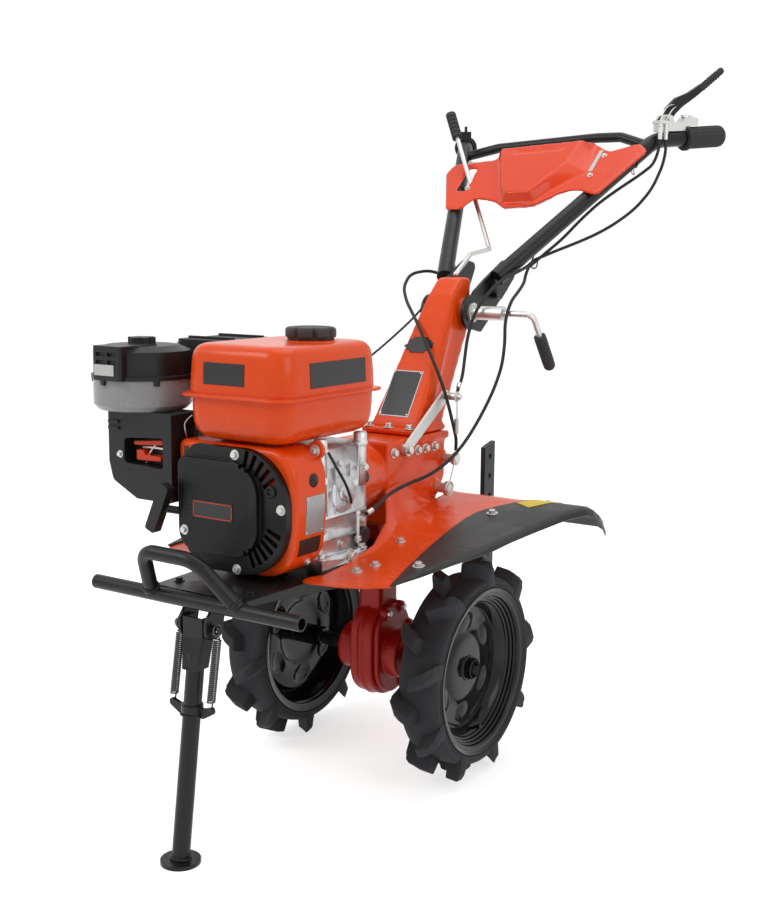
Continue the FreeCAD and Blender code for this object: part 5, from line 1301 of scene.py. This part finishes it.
@dataclass
class Fenders:
    """Smooth sheets, bolts and the plain yellow label of the fenders."""

    above: float = 600.0
    inner_bolts: tuple[tuple[float, float], ...] = ((148, -232), (138, -268), (122, -120))
    outer_bolts: tuple[tuple[float, float], ...] = ((216, -214), (196, 55), (236, 190))

    def build(self) -> None:
        """Makes the fenders, with smooth bends, and their small parts."""
        for name in ("left", "right"):
            for part, finish in (("fender", Finish.ORANGE_ENAMEL), ("fender_edge", Finish.BLACK_MOULDING)):
                sheet = Blank.from_node(f"{part}_{name}")
                bmesh.ops.dissolve_degenerate(sheet.mesh, edges=sheet.mesh.edges, dist=0.05)
                bmesh.ops.join_triangles(sheet.mesh, faces=sheet.mesh.faces, angle_face_threshold=0.5,
                                         angle_shape_threshold=2.5)
                sheet.piece(f"{part}_{name}_bent", finish, Body.FRAME, f"{part}_{name}", sharp=36)
        bolts = Blank()
        for side, name in SIDES:
            for part, head, places in (("fender", (10, 5, 9), self.inner_bolts),
                                       ("fender_edge", (11, 5.5, 10), self.outer_bolts)):
                bolts.joined(Surface(f"{part}_{name}").bolted(
                    head, [(side * x, y, self.above) for x, y in places], DOWNWARD))
        bolts.piece("fender_bolts", Finish.ZINC_STEEL, Body.FRAME)
        label = Surface("fender_edge_left").skin((240, 104, self.above), (34, 62, 0), (-32, 17, 0), 0.8,
                                                 (18, 12))
        label.piece("fender_label_plain", Finish.YELLOW_LABEL, Body.FRAME)


# ---- handlebar and cables -------------------------------------------------------


@dataclass
class Handlebar:
    """Grips, console, levers' details and clips of the handlebar."""

    start: Point = (56.75, 307.0, 846.5)
    bend: Point = (220.0, 660.0, 1120.0)
    end: Point = (300.0, 800.0, 1135.0)
    grip: float = 90.0
    ribs: int = 18
    pivot_back: float = 138.0
    pivot_rise: float = 39.9

    def heading(self) -> Vector:
        """Direction of the left grip."""
        return (Vector(self.end) - Vector(self.bend)).normalized()

    def rubber(self) -> Blank:
        """The left grip, with a collar, lengthwise ribs and a rounded end."""
        profile = [(0, 89.4), (16.3, 89.4), (16.3, 0), (23.4, 0), (25, 1.4), (25, 6.4), (23.6, 8),
                   (21.4, 9.4), (21.2, 16), (22, 20), (22, 88), (21.2, 93), (18.8, 95.6), (13, 96), (0, 96)]
        sleeve = Blank.turned(profile, self.ribs * 6)

        def ribbed(point: Vector) -> Vector:
            """Sinks the grooves between the ribs."""
            radius = math.hypot(point.x, point.y)
            if radius < 20 or not 18 < point.z < 94:
                return point
            draw = 1 - 0.055 * max(0.0, math.cos(self.ribs * math.atan2(point.y, point.x))) ** 0.6
            return Vector((point.x * draw, point.y * draw, point.z))

        return sleeve.shaped(ribbed).facing(self.heading()).moved(
            Vector(self.end) - self.heading() * self.grip)

    def on_bar(self, shape: Blank) -> Blank:
        """Moves a shape drawn along +Y about the clutch lever's pivot to its place."""
        heading = self.heading()
        shape.turned_by(-math.degrees(math.atan2(heading.x, heading.y)), "Z")
        return shape.moved(Vector(self.end) - heading * self.pivot_back + Vector((0, 0, self.pivot_rise)))

    def clutch(self) -> None:
        """Lever end, pivot hardware and cable adjusters."""
        tip = Blank.turned([(0, -2), (5.4, -2), (6.8, 0), (6.6, 58), (7.4, 61), (7, 65), (4, 68), (0, 68.4)],
                           32)
        for step in range(7):
            tip.joined(Blank.ring(6.7, 1.25, 28, 8).moved((0, 0, 7 + 7.4 * step)))
        tip.facing((0, 52, 39)).moved((0, 86, 64.4))
        self.on_bar(tip).piece("clutch_lever_end", Finish.GRIP_RUBBER, Body.HANDLEBAR)
        metal = Blank()
        for side in (1, -1):
            metal.joined(Blank.hexagon(11, 5.5, 7).turned_by(side * 90, "Y").moved((side * 13, 0, 0)))
        for y in (46, 64):
            cap = Blank.turned([(0, 0), (5.2, 0), (5.2, 3.4), (4.2, 4.6), (0, 4.6)], 20)
            metal.joined(cap.moved((0, y, 6)))
        for y in (-31, -17):
            metal.joined(Blank.hexagon(11, 4).moved((25, y, -18)), Blank.hexagon(10, 6).moved((25, y, -30)),
                         Blank.cylinder(3.4, 5, 20, 4.2).moved((25, y, -43)))
        metal.joined(Blank.along([(4, 24, 26), (14, 10, 22), (22, -6, 10), (25, -17, -4)], 1.1, True, 6),
                     Blank.along([(-2, 30, 30), (8, 8, 30), (20, -20, 16), (25, -31, -4)], 1.1, True, 6))
        self.on_bar(metal).piece("clutch_hardware", Finish.ZINC_STEEL, Body.HANDLEBAR)

    def panel(self) -> None:
        """The moulded console with its screws and the pale stripe."""
        Blank.from_node("console_panel").piece("console_moulding", Finish.ORANGE_MOULDING, Body.HANDLEBAR,
                                               "console_panel", remesh=2.2, relax=16)
        console = Surface("console_panel")
        into = Vector((0, 0.6125, -0.7905))
        screws = [Vector(at) - into * STAND_OFF for at in
                  ((146, 582, 1087), (140, 530, 1046), (-158, 576, 1081), (-122, 502, 1024))]
        console.bolted((7, 3, 6), screws, into, 0.6).piece(
            "console_screws", Finish.ZINC_STEEL, Body.HANDLEBAR)
        low = Vector((131, 540, 1054)) - into * STAND_OFF
        console.skin(low, (8.5, 0, 0), (-1.5, 57, 44.1), 0.9, (3, 10)).piece(
            "console_stripe", Finish.PALE_LABEL, Body.HANDLEBAR)

    def clips(self) -> None:
        """Wire ties of the cables, welds of the clamp plates and ribs of the crank's knob."""
        ties = Blank()
        bar = (Vector(self.bend) - Vector(self.start)).normalized()
        for share, side in ((0.84, 1), (0.62, -1)):
            at = Vector(self.start).lerp(Vector(self.bend), share)
            ring = Blank.ring(16.9, 0.9, 40, 8).facing(bar).moved(at)
            loop = Blank.ring(6.5, 0.9, 24, 8).turned_by(70, "Y").moved(at + Vector((6, -3, -21)))
            for part in (ring, loop):
                ties.joined(part.sided(side))
        ties.joined(Blank.along([(95, 398, 902), (88, 402, 892), (80, 407, 880), (74, 411, 870),
                                 (80, 414, 862), (90, 412, 868), (92, 406, 882)], 1.3, True, 6))
        ties.piece("cable_ties", Finish.CABLE_SHEATH, Body.HANDLEBAR)
        seams = Blank()
        for side in (1, -1):
            bead = Blank.along([(48, 300, 828), (54, 330, 850), (62, 352, 868)], 2.4, True, 6)
            seams.joined(bead.sided(side))
        seams.piece("bracket_welds", Finish.WELD_SEAM, Body.HANDLEBAR)
        knurl = Blank()
        foot, lift = Vector((176, 294, 696)), Vector((-4, -60, 88)).normalized()
        for step in range(9):
            knurl.joined(Blank.ring(10.7, 0.9, 36, 8).facing(lift).moved(foot + lift * (2 + 6 * step)))
        knurl.piece("crank_knob_ribs", Finish.GRIP_RUBBER, Body.HANDLEBAR)

    def build(self) -> None:
        """Makes all of the handlebar's new parts."""
        for name, grip in (("grip_left", self.rubber()), ("grip_right", self.rubber().mirrored())):
            grip.piece(f"{name}_ribbed", Finish.GRIP_RUBBER, Body.HANDLEBAR, name, sharp=40)
        self.clutch()
        self.panel()
        self.clips()


@dataclass
class JointCables:
    """Cables and the gear rod, which bend where the handlebar tilts."""

    spans: dict[str, tuple[Point, Point]] = field(default_factory=lambda: {
        "clutch_cable_lower": ((84, 150, 664), (84, 400, 878)),
        "engine_cable_lower": ((120, 180, 630), (80, 395, 862)),
        "reverse_cable": ((0, 140, 758), (-84, 340, 851)),
        "throttle_cable": ((-60, 150, 748), (-74, 292, 822)),
        "gear_rod": ((0, 252, 853), (-40, 452, 899)),
    })
    longest: float = 9.0

    def build(self) -> None:
        """Makes the bending copies and the ferrules at two cables' ends."""
        for name, (start, end) in self.spans.items():
            finish = Finish.ZINC_STEEL if name == "gear_rod" else Finish.CABLE_SHEATH
            copy = Blank.from_node(name)
            edges = [edge for edge in copy.mesh.edges if edge.calc_length() > self.longest]
            bmesh.ops.subdivide_edges(copy.mesh, edges=edges, cuts=3)
            piece = copy.piece(f"{name}_flexing", finish, None, name, sharp=60)
            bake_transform(piece)
        ends = Blank()
        for radius, length, way, foot in ((4.2, 13, (10, -35, -24), (80, 136, 662)),
                                          (4.4, 16, (1, -34, -8), (91.6, -158, 482))):
            ends.joined(Blank.cylinder(radius, length, 24).bevelled(0.8, 1).facing(way).moved(foot))
        ends.piece("cable_ferrules", Finish.ZINC_STEEL, Body.FRAME)


# ---- the studio -----------------------------------------------------------------


@dataclass
class Studio:
    """Camera, lamps, floor and white surround."""

    azimuth: float = math.radians(33.67)
    pitch: float = math.radians(9.04)
    roll: float = math.radians(0.43)
    eye: Point = (1217.2, -1819.1, 899.3)
    lens: float = 50.56
    sensor: float = 36.0
    sight: float = 50.0
    sky: float = 0.5
    floor_half: float = 9.0
    floor_glow: float = 0.62

    def camera(self) -> None:
        """Makes the camera and sets it as the scene's."""
        side, ahead = math.sin(self.azimuth), math.cos(self.azimuth)
        look = Vector((-side * math.cos(self.pitch), ahead * math.cos(self.pitch), -math.sin(self.pitch)))
        right = Vector((ahead, side, 0))
        up = right.cross(look)
        turned = right * math.cos(self.roll) + up * math.sin(self.roll)
        upright = up * math.cos(self.roll) - right * math.sin(self.roll)
        data = bpy.data.cameras.new("camera")
        data.lens = self.lens
        data.sensor_width = self.sensor
        data.clip_end = self.sight
        camera = shown("camera", data)
        turn = Matrix((turned, upright, -look)).transposed().to_4x4()
        camera.matrix_world = Matrix.Translation(place(*self.eye)) @ turn
        bpy.context.scene.camera = camera

    def lamp(self, name: str, where: Point, aim: Point, size: tuple[float, float], power: float) -> None:
        """Adds one soft rectangular lamp.

        Args:
            name: The lamp's name.
            where: Its place, in metres.
            aim: The point that it faces, in metres.
            size: Its width and height, in metres.
            power: Its power, in watts.
        """
        data = bpy.data.lights.new(name, "AREA")
        data.shape = "RECTANGLE"
        data.size, data.size_y = size
        data.energy = power
        lamp = shown(name, data)
        facing = (Vector(aim) - Vector(where)).to_track_quat("-Z", "Y").to_matrix().to_4x4()
        lamp.matrix_world = Matrix.Translation(Vector(where)) @ facing

    def seen(self, tree: bpy.types.NodeTree) -> Signal:
        """1 for what the camera sees, straight, mirrored or through glass, else 0."""
        path = tree.nodes.new("ShaderNodeLightPath")
        camera, gloss, glass = (Signal(tree, path.outputs[name]) for name in
                                ("Is Camera Ray", "Is Glossy Ray", "Is Transmission Ray"))
        return camera.math("MAXIMUM", camera, gloss.math("MAXIMUM", gloss, glass))

    def surround(self) -> None:
        """A world that lights softly and shows white to the eye and in reflections."""
        world = bpy.data.worlds.new("studio")
        world.use_nodes = True
        bpy.context.scene.world = world
        background = world.node_tree.nodes["Background"]
        background.inputs["Color"].default_value = (1, 1, 1, 1)
        level = self.seen(world.node_tree) * (1 - self.sky) + self.sky
        world.node_tree.links.new(level.socket, background.inputs["Strength"])

    def floor(self) -> None:
        """A pale floor that shows white and keeps a faint shadow."""
        mesh = bmesh.new()
        bmesh.ops.create_grid(mesh, x_segments=1, y_segments=1, size=self.floor_half)
        data = bpy.data.meshes.new("floor")
        mesh.to_mesh(data)
        mesh.free()
        floor = shown("floor", data)
        shader = Shader("floor_paper")
        shader.set(Base_Color=(0.9, 0.9, 0.9), Roughness=0.95, Emission_Color=(1, 1, 1),
                   Specular_IOR_Level=0.0)
        level = self.seen(shader.tree) * self.floor_glow
        shader.feed(shader.surface.inputs["Emission Strength"], level)
        data.materials.append(shader.material)

    def build(self) -> None:
        """Sets the stage and its light."""
        bpy.context.scene.view_settings.view_transform = "Standard"
        self.camera()
        self.lamp("key", (-1.6, -2.6, 2.9), (0, -0.1, 0.6), (1.8, 1.4), 40)
        self.lamp("side", (3.0, -0.6, 1.9), (0, 0, 0.6), (1.6, 2.0), 20)
        self.lamp("top", (0.2, 0.4, 3.2), (0, 0, 0.6), (2.2, 2.2), 22)
        self.surround()
        self.floor()


def main() -> None:
    """Builds the machine's looks."""
    logging.basicConfig(level=logging.INFO, format="%(name)s: %(message)s")
    Studio().build()
    for finish, names in NODE_FINISH.items():
        for name in names:
            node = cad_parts[name]
            node.data.materials.clear()
            node.data.materials.append(finish.material)
            LOG.info("%s dressed in %s", name, finish.name.lower())
    for assembly in (Wheels(), FrontStand(), DeckFront(), FuelTank(), Engine(), Drive(), Fenders(),
                     Handlebar(), JointCables()):
        assembly.build()


if __name__ == "__main__":
    main()
